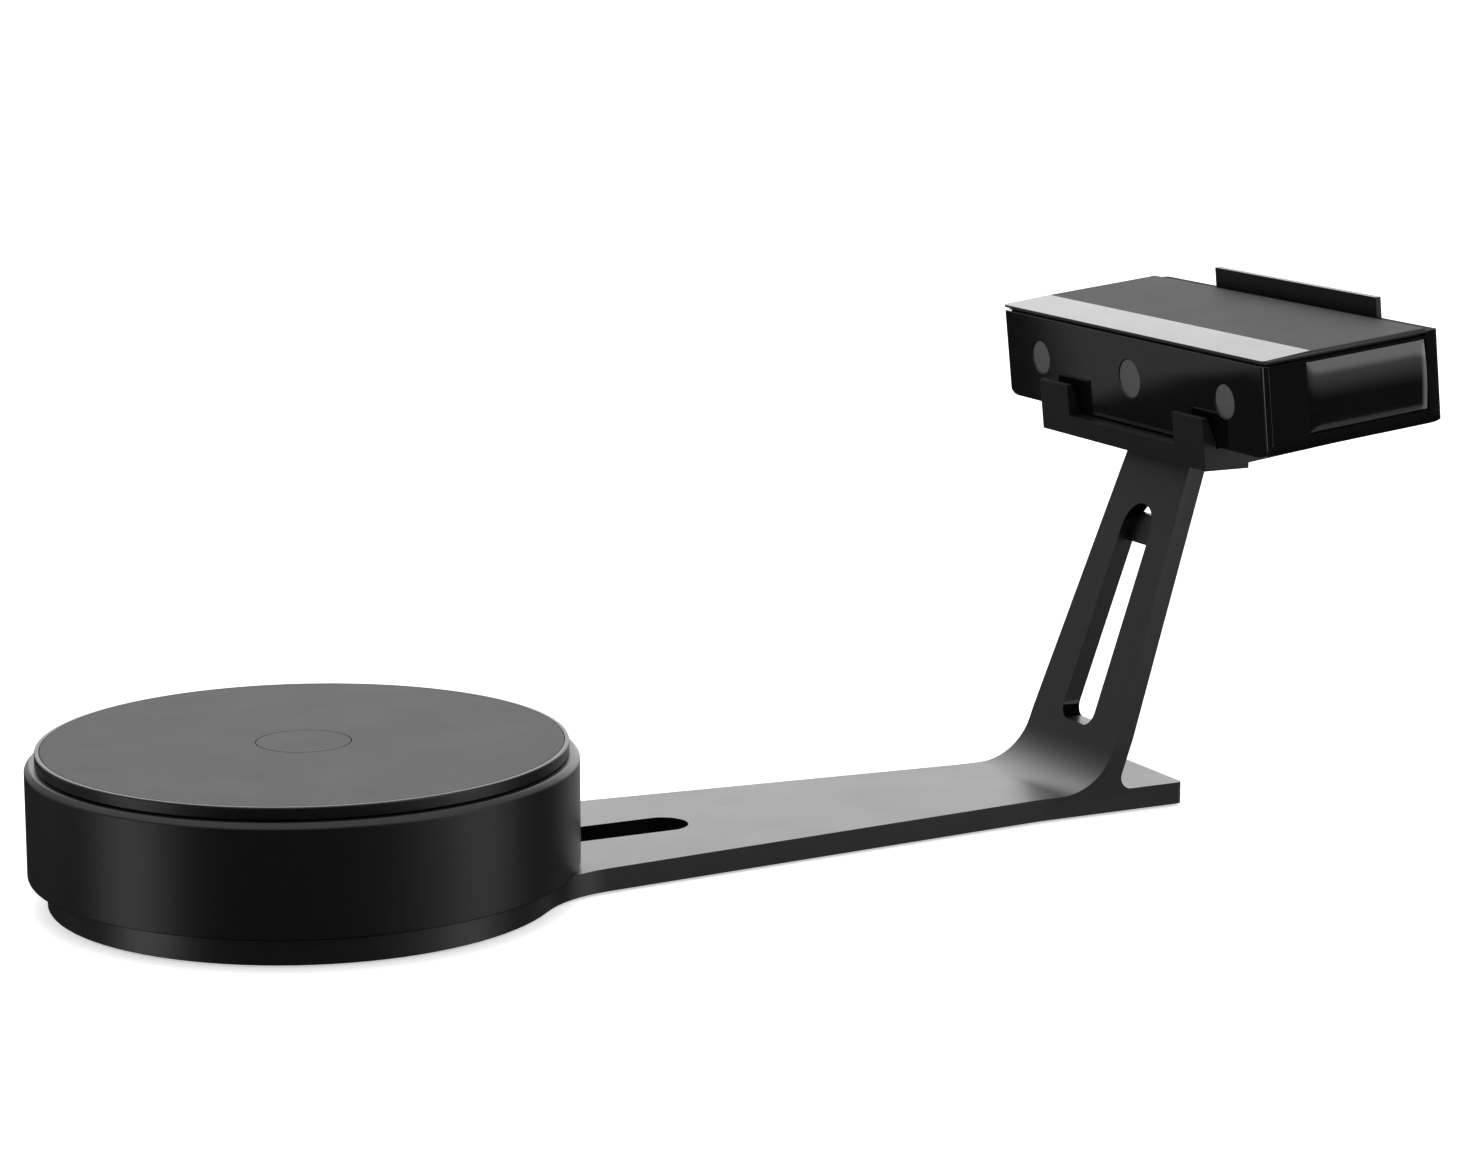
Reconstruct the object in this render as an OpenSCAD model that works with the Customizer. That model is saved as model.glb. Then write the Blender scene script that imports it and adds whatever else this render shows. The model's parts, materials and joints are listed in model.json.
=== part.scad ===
// Desktop 3D scanner: a motor-driven turntable and a two-camera scanning head,
// both carried by one flat stand with a column that leans back.
// X runs along the arm from the turntable's axis towards the column, Z is up and
// Z = 0 is the surface that the stand rests on.

/* [Stand plate] */
// How far the plate's round end lies inside the side of the turntable's housing
plate_inset = 7.2; // [4:0.1:12]
// Thickness of the plate
plate_t = 9.1; // [7:0.1:12]
// Half width that the arm's edge line would have at the turntable's axis
arm_root_half_w = 60.1; // [56:0.1:66]
// Half width of the arm where its taper ends
arm_half_w = 33.8; // [30:0.1:38]
// Distance from the turntable's axis to the end of the arm's taper
arm_taper_end = 305; // [270:1:320]
// Radius of the inner curve between the round end and the arm
arm_blend_r = 50; // [40:1:60]
// Length of the plate behind the column
tail_l = 32; // [28:0.5:45]
// Rounding of the plate's rear corners
tail_corner_r = 2; // [1:0.5:6]
// Height of the round boss that centres the turntable
boss_h = 3.4; // [3:0.1:4]
// Radius of the round boss that centres the turntable
boss_r = 15; // [10:0.5:17]

/* [Cable slot in the arm] */
// Width of the cable slot in the arm
arm_slot_w = 21; // [14:0.5:24]
// Distance from the turntable's axis to the slot's far end
arm_slot_end = 161; // [145:1:180]
// Length of the slot, part of it under the turntable
arm_slot_l = 84; // [60:1:100]

/* [Non-slip pads] */
// How far the pads stand below the plate
pad_proud = 0.8; // [0.5:0.1:1.5]
// Depth of the recesses that hold the pads
pad_recess = 0.7; // [0.4:0.1:1.2]
// Radius of the pad at the turntable's axis
centre_pad_r = 12; // [8:0.5:20]
// Radius of the other pads
pad_r = 7.5; // [5:0.5:9]
// Distance from the edge of the plate's round end to the middle of its pads
pad_inset = 15.8; // [12:0.1:35]
// Distance from the arm's middle line to the two rear pads
rear_pad_y = 23; // [12:0.5:25]
// Distance from the plate's rear edge to the rear pads' centres
rear_pad_inset = 12; // [10:0.5:25]

/* [Column] */
// Where the column's front face would meet the ground, from the turntable's axis
column_x = 330.6; // [322:0.2:345]
// Angle by which the column leans back
column_lean = 19.5; // [15:0.5:23]
// Thickness of the column
column_t = 7.6; // [6.5:0.1:10]
// Half width that the column would have at the ground
column_half_w = 36.5; // [34:0.1:38]
// Angle by which each edge of the column draws in
column_taper = 5; // [3:0.25:6]
// Radius of the curve from the arm up into the column
front_fillet_r = 26; // [14:1:27]
// Radius of the curve between the column and the tail
rear_fillet_r = 5; // [2:0.5:8]

/* [Cable slot in the column] */
// Height of the slot's lower end
slot_z0 = 32; // [29:0.5:40]
// Distance from the slot's upper end to the cradle's shelf
slot_top_gap = 26.3; // [20:0.1:40]
// Half width of the slot at its lower end
slot_half_w = 12.3; // [9:0.1:14]
// Half width of the slot at its upper end
slot_top_half_w = 10.6; // [8:0.1:12]
// Rounding of the slot's lower corners
slot_corner_r = 6; // [3:0.5:8]
// Distance from the slot's upper end to the cable clip's lower edge
clip_drop = 17; // [15:0.5:35]
// Height of the cable clip
clip_h = 12; // [8:0.5:13]
// Thickness of the cable clip
clip_t = 3.2; // [2:0.1:4]

/* [Cradle] */
// Thickness of the shelf under the head
shelf_t = 8.3; // [6:0.1:10]
// How far the shelf and its prongs reach in front of the head's face
lip_reach = 6; // [4:0.2:8]
// Half width of the cradle's front edge
cradle_half_w = 63.4; // [60:0.2:66]
// Width of each prong
prong_w = 22.4; // [16:0.2:28]
// Height of the prongs above the shelf
prong_h = 13.3; // [8:0.1:13.5]
// Thickness of the prongs at their tips
prong_tip_t = 2.2; // [1.6:0.1:3.2]
// Height up to which the prongs stand against the head before they thin
prong_root_h = 3; // [2:0.1:6]
// Distance from the head's sides to the plate behind it
back_inset = 41.5; // [40:0.1:47]
// Thickness of the plate behind the head
back_t = 2.5; // [2:0.1:3]
// How far the back plate stands above the head
back_rise = 6.9; // [3:0.1:10]
// Depth of the recess at the head's rear, which the back plate stands in
back_recess = 3.4; // [2.8:0.1:3.6]
// Thickness of the soft pads on the shelf
cradle_pad_t = 0.8; // [0.5:0.1:1.5]
// Depth of the column's mounting flange below the shelf, at the column's front
flange_t = 10.2; // [8:0.1:12]
// Reach of the mounting flange behind the column's front face
flange_l = 27; // [24:0.5:30]
// Radius of the hole in the shelf below the tripod insert
shelf_hole_r = 9; // [6:0.5:10]
// Distance from the head's face to where the cradle starts to narrow
cradle_taper_u = 14; // [8:1:30]
// Width of the soft pads on the shelf
cradle_pad_w = 16; // [10:1:20]
// Distance from the shelf's edges to the soft pads
cradle_pad_inset = 11.4; // [6:0.1:14]
// Distance from the column's edges to the screws that hold the cradle
cradle_screw_inset = 9; // [6:0.5:12]

/* [Turntable] */
// Radius of the turntable's housing
housing_r = 105; // [103.5:0.1:108]
// Gap between the plate and the housing, which the feet stand in
foot_h = 2.2; // [1.8:0.1:3]
// Height of the housing
housing_h = 42.9; // [42.5:0.1:46]
// Wall of the housing and of its deck
housing_wall = 2.6; // [2:0.1:3]
// Bevel of the housing's upper edge
housing_bevel = 2; // [1:0.1:2.5]
// Distance from the gear's pitch circle to the edge of the deck's opening
deck_hole_gap = 6; // [3:0.5:15]
// Thickness of the base pan's floor
pan_t = 3; // [2.5:0.1:3.2]
// Radius of each rubber foot
foot_r = 7; // [5:0.5:9]
// Distance from the edge of the plate's round end to the middle of the feet
foot_inset = 17.8; // [12:0.1:35]
// Distance from the housing's side to the screws that hold it
shell_screw_inset = 10; // [9:0.5:15]
// Width of the control board
table_board_w = 36; // [30:1:44]
// Depth of the control board
table_board_d = 35.4; // [30:0.1:40]
// Distance from the control board's edges to its posts
table_post_inset = 6; // [4:0.5:8]
// Gap between the control board and the housing's wall
table_board_gap = 5; // [4:0.5:10]
// Length of the housing's screws below their heads
housing_screw_l = 8; // [7:0.5:9]

/* [Platter] */
// How far the platter's edge lies inside the housing's side
platter_inset = 4; // [1:0.1:9]
// Height of the platter's rim
platter_h = 4.6; // [4:0.1:6]
// Gap between the housing's deck and the platter's rim
platter_gap = 0.4; // [0.3:0.05:0.8]
// Thickness of the platter's disc below its mat
platter_disc_t = 2.4; // [2:0.1:2.8]
// Width of the platter's rim
rim_w = 2.2; // [1.5:0.1:4]
// Thickness of the mat on the platter
mat_t = 0.8; // [0.5:0.05:1.2]
// Width of the bare rim around the mat
mat_inset = 1.8; // [1:0.1:4]
// Radius of the cap over the end of the spindle
cap_r = 18; // [15:0.5:24]
// Radius of the platter's hub
hub_r = 20; // [18.5:0.5:24]

/* [Spindle and bearing] */
// Radius of the spindle
spindle_r = 7.5; // [6:0.25:8]
// Outer radius of the ball bearing
bearing_r = 16; // [15.5:0.25:17]
// Width of the ball bearing
bearing_w = 9; // [8:0.5:10]
// Radius of the bearing's balls
ball_r = 2.4; // [2.2:0.1:2.5]
// Number of balls in the bearing
ball_count = 9; // [7:1:11]
// Thickness of each bearing ring at its shoulder
bearing_ring_t = 2.4; // [2:0.1:2.6]
// Height of the post that carries the spindle, above the pan's floor
post_h = 16; // [14:0.5:17]
// Radius of the post that carries the spindle
post_r = 14; // [12:0.5:16]
// Wall of the bush at the hub's upper end
bush_wall = 2.4; // [2:0.1:3]
// Length of the bush at the hub's upper end
bush_l = 9.5; // [7:0.5:11]
// Thickness of the spindle's retaining clip
retainer_t = 1; // [0.8:0.1:1.2]

/* [Drive] */
// Gear module
gear_module = 1; // [0.95:0.05:1.05]
// Least distance from the housing's side to the motor's axis
motor_inset = 35; // [34:0.5:42]
// Teeth of the motor's pinion
pinion_teeth = 20; // [18:1:22]
// Pressure angle of the teeth
pressure_angle = 20; // [18:1:22]
// Width of both gears
gear_w = 6; // [4:0.5:7]
// Play between the teeth
backlash = 0.2; // [0.1:0.05:0.4]
// Radial width of the platter gear's web
gear_web = 13; // [11:0.5:15]
// Side of the square stepper motor
motor_side = 35.2; // [32:0.1:38]
// Length of the stepper motor
motor_l = 24; // [18:0.5:25]
// Radius of the motor's shaft
motor_shaft_r = 2.5; // [2:0.25:3]
// Radius of the boss round the motor's shaft
motor_boss_r = 11; // [8:0.5:11.5]
// Distance between the motor's screws
motor_screw_pitch = 26; // [24:0.5:27]
// Radius of the motor's screws
motor_screw_r = 1.25; // [1:0.05:1.5]
// Radius of the bracket's legs
leg_r = 3.5; // [3:0.1:4.5]
// Gap between the motor and the bracket's legs
leg_gap = 1.5; // [1:0.1:3]
// Thickness of the motor bracket
bracket_t = 2; // [1.5:0.1:2.4]

/* [Head body] */
// How far the head's upper front edge lies in front of the column's line
head_reach = 36.67; // [30:0.01:42]
// Height of the head's upper front edge
head_z = 195.9; // [190:0.1:205]
// Angle by which the head looks down
head_pitch = 6; // [4:0.25:8]
// Width of the head
head_w = 202; // [196:0.5:210]
// Depth of the head
head_d = 86.6; // [86:0.1:90]
// Height of the head
head_h = 40.3; // [39.5:0.1:43]
// Wall of the head's shells
head_wall = 2.2; // [1.8:0.1:2.4]
// Rounding of the head's lower edges
head_lower_r = 7; // [5:0.5:8]
// Rounding of the head's upper edges
head_upper_r = 1.6; // [1:0.1:2.4]
// Rounding of the head's front corners, seen from above
head_front_r = 2.5; // [1.5:0.1:4]
// Rounding of the head's rear corners, seen from above
head_rear_r = 8; // [5:0.5:8.5]
// Depth of the sloping band along the top's front edge
band_d = 23; // [18:0.5:28]
// How far the band drops to the front edge
band_drop = 0.6; // [0.4:0.1:0.8]
// Thickness of the top cover
skirt_h = 1.7; // [1.6:0.1:2]
// Width of the dark seam below the top cover
seam = 1.3; // [0.8:0.1:1.6]
// Thickness of the lip inside the top cover, which closes the seam
lip_t = 1.2; // [0.8:0.1:1.4]
// How far that lip reaches below the seam
lip_l = 1.9; // [1:0.1:2.4]
// Thickness of the front panel
front_t = 2.5; // [2.2:0.1:3]
// Depth of the rear cap
rear_cap_d = 9; // [8.8:0.1:9.4]
// How far the rear cap lies below the top cover
cap_drop = 1.3; // [0.8:0.1:1.5]
// Rounding of the rear cap's upper edge
cap_top_r = 3; // [1:0.5:4]
// Least wall of the rear cap
cap_wall = 5; // [4.6:0.1:6]
// Distance from the head's face to the side panels
side_panel_u = 20; // [15:0.5:30]
// Thickness of the side panels
side_panel_t = 1.1; // [0.8:0.1:1.2]
// Distance from the head's sides to the middle of its screws
shell_post_inset = 11; // [9:0.5:14]
// Radius of the posts that the head's screws run in
shell_post_r = 4; // [3.2:0.1:5]

/* [Vents] */
// Number of vent slots at each end of the head's underside
vent_count = 6; // [3:1:7]
// Distance between neighbouring vent slots
vent_pitch = 3.6; // [3:0.1:4]
// Width of the vent slots
vent_w = 1.8; // [1:0.1:2.4]
// Length of the vent slots
vent_l = 18; // [10:1:24]
// Distance from the head's sides to the outermost vent slot
vent_inset = 10; // [9:0.5:14]

/* [Cameras and projector] */
// Distance from the head's sides to the cameras' axes
camera_inset = 29.7; // [28:0.1:32]
// Depth of the lenses' line below the head's upper edge
lens_drop = 20.5; // [19:0.1:21]
// Radius of the camera windows
camera_window_r = 7; // [6:0.1:8]
// Radius of the projector's window
projector_window_r = 8; // [7:0.1:9]
// Thickness of the windows
window_t = 1.4; // [1:0.1:1.6]
// How far the windows lie behind the front panel's face
window_inset = 0.4; // [0.2:0.05:0.6]
// Width of the ledge behind each window
window_ledge = 1; // [0.6:0.1:1.5]
// Side of the camera blocks
camera_side = 24; // [20:0.5:26]
// Gap between the optical bench and the fan
bench_fan_gap = 5.1; // [1:0.1:9]
// Distance from the head's face to the camera blocks
camera_u = 12; // [10:0.5:14]
// Width of the projector's light engine
engine_w = 40; // [34:0.5:44]
// Gap between the optical bench and the tripod insert's boss
bench_boss_gap = 2; // [1:0.1:6]
// Thickness of the optical bench
bench_t = 3; // [2:0.1:3.5]
// Height of the bench above the shell's floor
bench_lift = 3.1; // [2.5:0.1:4]
// Depth of the heat sink, fins included
sink_d = 14; // [10:0.5:15]
// Number of fins on the heat sink
fin_count = 9; // [6:1:11]
// Thickness of the heat sink's fins
fin_t = 1.2; // [0.8:0.1:1.6]
// Thickness of the heat sink's base
sink_base_t = 3; // [2:0.5:5]
// Gap between the light engine and the head's upper face
engine_top_gap = 8; // [6:0.5:10]

/* [Main board] */
// Side of the main board's large chips
chip_side = 14; // [10:0.5:16]
// Thickness of those chips
chip_t = 1.5; // [1:0.1:2]
// Distance from the board's middle to the nearest of them
chip_w = 30; // [26:0.5:34]
// Distance between neighbouring chips
chip_pitch = 22; // [18:0.5:23]
// Length of the connector on the board's rear
connector_w = 32; // [20:1:60]

/* [Fan] */
// Side of the fan's square frame
fan_side = 30; // [28:0.5:31]
// Thickness of the fan's frame
fan_t = 8; // [7:0.5:10]
// Gap between the fan and the light engine
fan_gap = 12; // [11:0.5:20]
// Least wall round the fan's bore
fan_rim = 1.5; // [1:0.1:3]
// Radius of the fan's hub
fan_hub_r = 6; // [4:0.5:8]
// Thickness of the fan's spider, which carries its motor
spider_t = 1.2; // [1:0.1:2]
// Number of fan blades
blade_count = 7; // [5:1:9]

/* [Sockets and button] */
// Distance from the head's sides to the inner pair of sockets
socket_inset = 30; // [28.5:0.5:32]
// Distance from the head's sides to the outer socket and the button
button_inset = 14; // [13:0.5:15.5]
// Radius of the power socket
jack_r = 5; // [4:0.1:5.5]
// Width of the USB socket
usb_w = 12; // [10:0.5:13]
// Height of the USB socket
usb_h = 11; // [9:0.5:12]
// Width of the ports for the turntable's lead
port_w = 13; // [11:0.5:14]
// Height of the ports for the turntable's lead
port_h = 8; // [7:0.5:10]
// Radius of the power button
button_r = 4.5; // [3.5:0.1:5]
// Travel of the power button
button_travel = 0.8; // [0.5:0.1:0.9]
// How far the power button stands out
button_proud = 1; // [0.95:0.05:1.3]
// Inner radius of the brass tripod insert
tripod_r = 2.6; // [2.4:0.05:3.2]
// Length of the brass tripod insert
tripod_l = 9; // [7:0.5:10]
// Outer radius of the brass tripod insert
tripod_outer_r = 4.5; // [4:0.1:5.5]
// Distance from the head's rear to the tripod insert
tripod_inset = 26.6; // [22:0.1:30]

/* [Fits] */
// Gap round a shaft that turns
running_gap = 0.05; // [0.02:0.01:0.1]
// Gap round a part that is pushed home
push_gap = 0.02; // [0.01:0.01:0.05]
// Gap between pieces that are laid beside each other
loose_gap = 0.15; // [0.1:0.05:0.3]
// Gap between pieces that move past each other
slide_gap = 0.3; // [0.2:0.05:0.5]

/* [Hidden] */
$fn = 96;
eps = 0.01;
DARK = [0.13, 0.13, 0.14];
BLACK = [0.05, 0.05, 0.06];
GREY = [0.42, 0.42, 0.43];
STEEL = [0.75, 0.76, 0.78];
BRASS = [0.8, 0.65, 0.3];
GREEN = [0.05, 0.3, 0.15];

// Stand
plate_z = pad_proud;
plate_top = plate_z + plate_t;
plate_r = housing_r - plate_inset;
pad_ring_r = plate_r - pad_inset;
arm_slope = (arm_root_half_w - arm_half_w) / arm_taper_end;
lean_shift = tan(column_lean);
column_run = column_t / cos(column_lean);
function column_front(z) = column_x + z * lean_shift;
function column_edge(z) = column_half_w - z * tan(column_taper);
tail_x = column_front(plate_top) + column_run + tail_l;
head_x = column_front(head_z) - head_reach;
reach = 2 * tail_x;

// Head, in its own frame: u runs back from the face, w across and t up
cradle_pad_top = -head_h;
shelf_top = cradle_pad_top - cradle_pad_t;
shelf_bottom = shelf_top - shelf_t;
back_u = head_d - back_recess + slide_gap;
cradle_end_u = back_u + back_t;
// Height of a point (u, t) of the head's frame, and its distance along X
function head_to_x(u, t) = head_x + u * cos(head_pitch) - t * sin(head_pitch);
function head_to_z(u, t) = head_z + u * sin(head_pitch) + t * cos(head_pitch);
// Where the column's front face meets the plane under the shelf, solved for u
flange_u = (column_x + lean_shift * (head_z + shelf_bottom * cos(head_pitch))
    - head_x + shelf_bottom * sin(head_pitch))
    / (cos(head_pitch) - lean_shift * sin(head_pitch));
column_top = head_to_z(flange_u, shelf_bottom);
flange_z = column_top - flange_t;
flange_x = head_to_x(flange_u + flange_l, shelf_bottom);
flange_half_w = column_edge(column_top);
cradle_screw_u = [flange_u + column_run + 5, flange_u + flange_l - 5];
cradle_screw_w = flange_half_w - cradle_screw_inset;
slot_z1 = column_top - slot_top_gap;
slot_taper = (slot_half_w - slot_top_half_w) / (slot_z1 - slot_z0);
function slot_edge(z) = slot_half_w - (z - slot_z0) * slot_taper;
clip_z = slot_z1 - clip_drop;

// Turntable
pan_z = plate_top + foot_h;
floor_z = pan_z + pan_t;
deck_top = pan_z + housing_h;
deck_z = deck_top - housing_wall;
inner_r = housing_r - housing_wall;
platter_r = housing_r - platter_inset;
foot_ring_r = plate_r - foot_inset;
shell_screw_ring_r = housing_r - shell_screw_inset;
post_top = floor_z + post_h;
land_h = 1;
bearing_z = post_top + land_h;
rim_z = deck_top + platter_gap;
platter_top = rim_z + platter_h;
mat_z = platter_top - mat_t;
disc_z = mat_z - platter_disc_t;
retainer_z = disc_z + 0.4;
spindle_top = mat_z - 0.3;
bush_r = spindle_r + running_gap + bush_wall;
bush_z = disc_z - bush_l;
well_r = bush_r + 2.6;
ball_pitch_r = (spindle_r + bearing_r) / 2;
race_r = ball_r + running_gap;

// Drive
gear_teeth = 2 * floor((housing_r - motor_inset) / gear_module) - pinion_teeth;
gear_pitch_r = gear_module * gear_teeth / 2;
pinion_pitch_r = gear_module * pinion_teeth / 2;
deck_hole_r = gear_pitch_r + deck_hole_gap;
centre_distance = gear_pitch_r + pinion_pitch_r;
addendum = 0.9 * gear_module;
dedendum = 1.15 * gear_module;
gear_post_h = disc_z - deck_z + 1.6;
gear_top = disc_z - gear_post_h;
gear_z = gear_top - gear_w;
gear_bore_r = gear_pitch_r - dedendum - gear_web;
gear_screw_r = gear_bore_r + gear_web / 2;
screw_head_h = 1.8;
bracket_z = gear_z - screw_head_h - 0.7 - bracket_t;
motor_z = bracket_z - motor_l;
leg_x = motor_side / 2 + leg_r + leg_gap;
leg_y = motor_side / 2 + 1;
usb_size = [usb_w, usb_h];
port_size = [port_w, port_h];
socket_z = floor_z + 5;
socket_size = [14, port_size[0], port_size[1]];
port_hollow = [9.4, 5.2];
port_depth = 8;
board_t = 1.6;
table_board_x = inner_r - table_board_gap;
board_posts = [
    for (x = [table_post_inset - table_board_d, -table_post_inset], side = [-1, 1])
        [table_board_x + x, side * (table_board_w / 2 - table_post_inset), 0]
];

// Head
half_w = head_w / 2;
back_half_w = half_w - back_inset;
floor_t = -head_h + head_wall;
shell_top = -skirt_h - seam;
rear_u = head_d - rear_cap_d;
camera_w = half_w - camera_inset;
bench_z = floor_t + bench_lift;
bench_top = bench_z + bench_t;
bench_half_w = camera_w + camera_side / 2 + 2;
bench_mid_w = engine_w / 2 + 9;
board_u = rear_u - 4;
shell_post_u = [12, rear_u - 11];
shell_post_w = half_w - shell_post_inset;
fan_u = rear_u - 8.5 - fan_side / 2;
fan_w0 = engine_w / 2 + fan_gap;
fan_mid_t = floor_t + fan_side / 2;
fan_bore_r = fan_side / 2 - fan_rim;
rotor_r = fan_bore_r - slide_gap;
screw_r = 1.5;
screw_head_r = 2.75;
tripod_u = head_d - tripod_inset;
tripod_boss_r = tripod_outer_r + 2.5;
bench_side_u = fan_u - fan_side / 2 - bench_fan_gap;
bench_end_u = tripod_u - tripod_boss_r - bench_boss_gap;
bench_post = [
    [bench_side_u - 10, camera_w - camera_side / 2 - 11.3], [bench_end_u - 7, engine_w / 2 + 5]
];
camera_d = bench_side_u - 4 - camera_u;
engine_u = camera_u + 2;
engine_d = bench_end_u - 1 - engine_u;
vent_u = [rear_u - 17 - vent_l, rear_u - 17];
board_half_w = half_w - 9;
board_rib_w = half_w - 41;
board_lift = 2;
socket_w_inner = half_w - socket_inset;
socket_w_outer = half_w - button_inset;
socket_t = -lens_drop;
chip_t0 = socket_t - chip_side / 2;
socket_len = head_d - 0.4 - board_u - board_t;

// ---------------------------------------------------------------- helpers

// Moves a child from the head's own frame to its place on the stand
module at_head() {
    translate([head_x, 0, head_z]) rotate([0, -head_pitch, 0]) children();
}

// Draws an outline of (x, z) and carries it across the middle plane
module across(width) {
    translate([0, width / 2, 0]) rotate([90, 0, 0]) linear_extrude(width) children();
}

// Draws an outline of (y, z) and carries it along X
module along(x0, x1) {
    translate([x0, 0, 0]) rotate([90, 0, 90]) linear_extrude(x1 - x0) children();
}

// A box from its two corners
module block(low, high) {
    translate(low) cube(high - low);
}

// A round bar between two heights
module bar(r, z0, z1) {
    translate([0, 0, z0]) cylinder(r = r, h = z1 - z0);
}

// A round bar of the head that points back, between two depths
module rod_u(r, u0, u1) {
    translate([u0, 0, 0]) rotate([0, 90, 0]) cylinder(r = r, h = u1 - u0);
}

module at_ring(count, r, turn = 0) {
    for (i = [0 : count - 1]) rotate([0, 0, turn + i * 360 / count]) translate([r, 0, 0]) children();
}

// A pan-head screw, its head's seat at height 0 and its shank upwards
module screw(shank_r, head_r, head_h, length) {
    difference() {
        union() {
            bar(head_r, -head_h, 0);
            bar(shank_r, -eps, length);
        }
        bar(head_r * 0.45, -head_h - eps, -head_h / 2, $fn = 6);
    }
}

// ---------------------------------------------------------------- stand

// Outline of the round end, the arm and the tail
module plate_outline() {
    n = [arm_slope, 1] / sqrt(1 + arm_slope * arm_slope);
    along_edge = [n[1], -n[0]];
    d = arm_root_half_w * n[1];
    k = sqrt(pow(plate_r + arm_blend_r, 2) - pow(d + arm_blend_r, 2));
    centre = n * (d + arm_blend_r) + along_edge * k;
    on_disc = centre * plate_r / (plate_r + arm_blend_r);
    on_edge = centre - n * arm_blend_r;
    circle(r = plate_r);
    polygon([
        [0, -arm_root_half_w], [arm_taper_end, -arm_half_w],
        [tail_x - tail_corner_r, -arm_half_w], [tail_x - tail_corner_r, arm_half_w],
        [arm_taper_end, arm_half_w], [0, arm_root_half_w]
    ]);
    translate([tail_x - 2 * tail_corner_r, tail_corner_r - arm_half_w])
        square([2 * tail_corner_r, 2 * (arm_half_w - tail_corner_r)]);
    for (side = [-1, 1]) {
        translate([tail_x - tail_corner_r, side * (arm_half_w - tail_corner_r)])
            circle(r = tail_corner_r);
        difference() {
            polygon([
                [0, 0], [on_disc[0], side * on_disc[1]], [centre[0], side * centre[1]],
                [on_edge[0], side * on_edge[1]]
            ]);
            translate([centre[0], side * centre[1]]) circle(r = arm_blend_r);
        }
    }
}

// Side view of the column with the curves at its foot
module column_side() {
    top = head_to_z(cradle_end_u, 0);
    polygon([
        [column_front(plate_z), plate_z], [column_front(plate_z) + column_run, plate_z],
        [column_front(top) + column_run, top], [column_front(top), top]
    ]);
    front_z = plate_top + front_fillet_r;
    front_x = column_front(front_z) - front_fillet_r / cos(column_lean);
    difference() {
        polygon([
            [front_x, plate_top], [front_x, front_z],
            [front_x + front_fillet_r * cos(column_lean), front_z - front_fillet_r * sin(column_lean)],
            [column_front(front_z), front_z - front_fillet_r * sin(column_lean)],
            [column_front(plate_z) + 1, plate_z], [front_x, plate_z]
        ]);
        translate([front_x, front_z]) circle(r = front_fillet_r);
    }
    back_z = plate_top + rear_fillet_r;
    back_x = column_front(back_z) + column_run + rear_fillet_r / cos(column_lean);
    difference() {
        polygon([
            [back_x, plate_top - 1], [back_x, plate_top], [back_x, back_z],
            [back_x - rear_fillet_r * cos(column_lean), back_z + rear_fillet_r * sin(column_lean)],
            [column_front(back_z), back_z + rear_fillet_r * sin(column_lean)],
            [column_front(plate_top - 1) + 1, plate_top - 1]
        ]);
        translate([back_x, back_z]) circle(r = rear_fillet_r);
    }
}

// Front view of the column
module column_front_view() {
    top = head_to_z(cradle_end_u, 0);
    polygon([
        [-column_edge(plate_z), plate_z], [column_edge(plate_z), plate_z],
        [column_edge(top), top], [-column_edge(top), top]
    ]);
}

module column_slot_outline() {
    low = slot_z0 + slot_corner_r;
    high = slot_z1 - slot_top_half_w;
    polygon([
        [-slot_edge(low), low], [slot_edge(low), low],
        [slot_edge(high), high], [-slot_edge(high), high]
    ]);
    translate([0, high]) circle(r = slot_edge(high));
    for (side = [-1, 1]) {
        translate([side * (slot_edge(low) - slot_corner_r), low]) circle(r = slot_corner_r);
    }
    translate([slot_corner_r - slot_edge(low), slot_z0])
        square([2 * (slot_edge(low) - slot_corner_r), slot_corner_r + 1]);
}

// Flange behind the column's top, level below, which the cradle is screwed to
module column_flange() across(2 * flange_half_w) polygon([
    [column_front(flange_z) + column_run / 2, flange_z], [flange_x, flange_z],
    [flange_x, head_to_z(flange_u + flange_l, shelf_bottom)],
    [head_to_x(flange_u, shelf_bottom) + column_run / 2,
        head_to_z(flange_u + column_run / 2 / cos(head_pitch), shelf_bottom)]
]);

module stand_arm() color(DARK) difference() {
    union() {
        translate([0, 0, plate_z]) linear_extrude(plate_t) plate_outline();
        bar(boss_r, plate_top - eps, plate_top + boss_h);
        difference() {
            intersection() {
                across(2 * arm_half_w) column_side();
                along(0, reach * 2) column_front_view();
            }
            at_head() block([-reach, -reach, shelf_bottom], [reach, reach, reach]);
        }
        column_flange();
    }
    along(column_x - 10, reach * 2) column_slot_outline();
    translate([arm_slot_end - arm_slot_w / 2, 0, 0]) bar(arm_slot_w / 2, -1, plate_top + 1);
    translate([arm_slot_end - arm_slot_l + arm_slot_w / 2, 0, 0])
        bar(arm_slot_w / 2, -1, plate_top + 1);
    block([arm_slot_end - arm_slot_l + arm_slot_w / 2, -arm_slot_w / 2, -1],
        [arm_slot_end - arm_slot_w / 2, arm_slot_w / 2, plate_top + 1]);
    pad_places(centre_pad_r + loose_gap, pad_r + loose_gap, 0, plate_z + pad_recess);
    at_head() for (u = cradle_screw_u, side = [-1, 1])
        translate([u, side * cradle_screw_w, 0]) bar(screw_r + push_gap, shelf_bottom - 2 * flange_t, 0);
}

module pad_places(centre_r, other_r, z0, z1) {
    bar(centre_r, z0, z1);
    at_ring(4, pad_ring_r, 45) bar(other_r, z0, z1);
    for (side = [-1, 1])
        translate([tail_x - rear_pad_inset, side * rear_pad_y, 0]) bar(other_r, z0, z1);
}

module stand_pads() color(BLACK) pad_places(centre_pad_r, pad_r, 0, plate_z + pad_recess);

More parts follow.
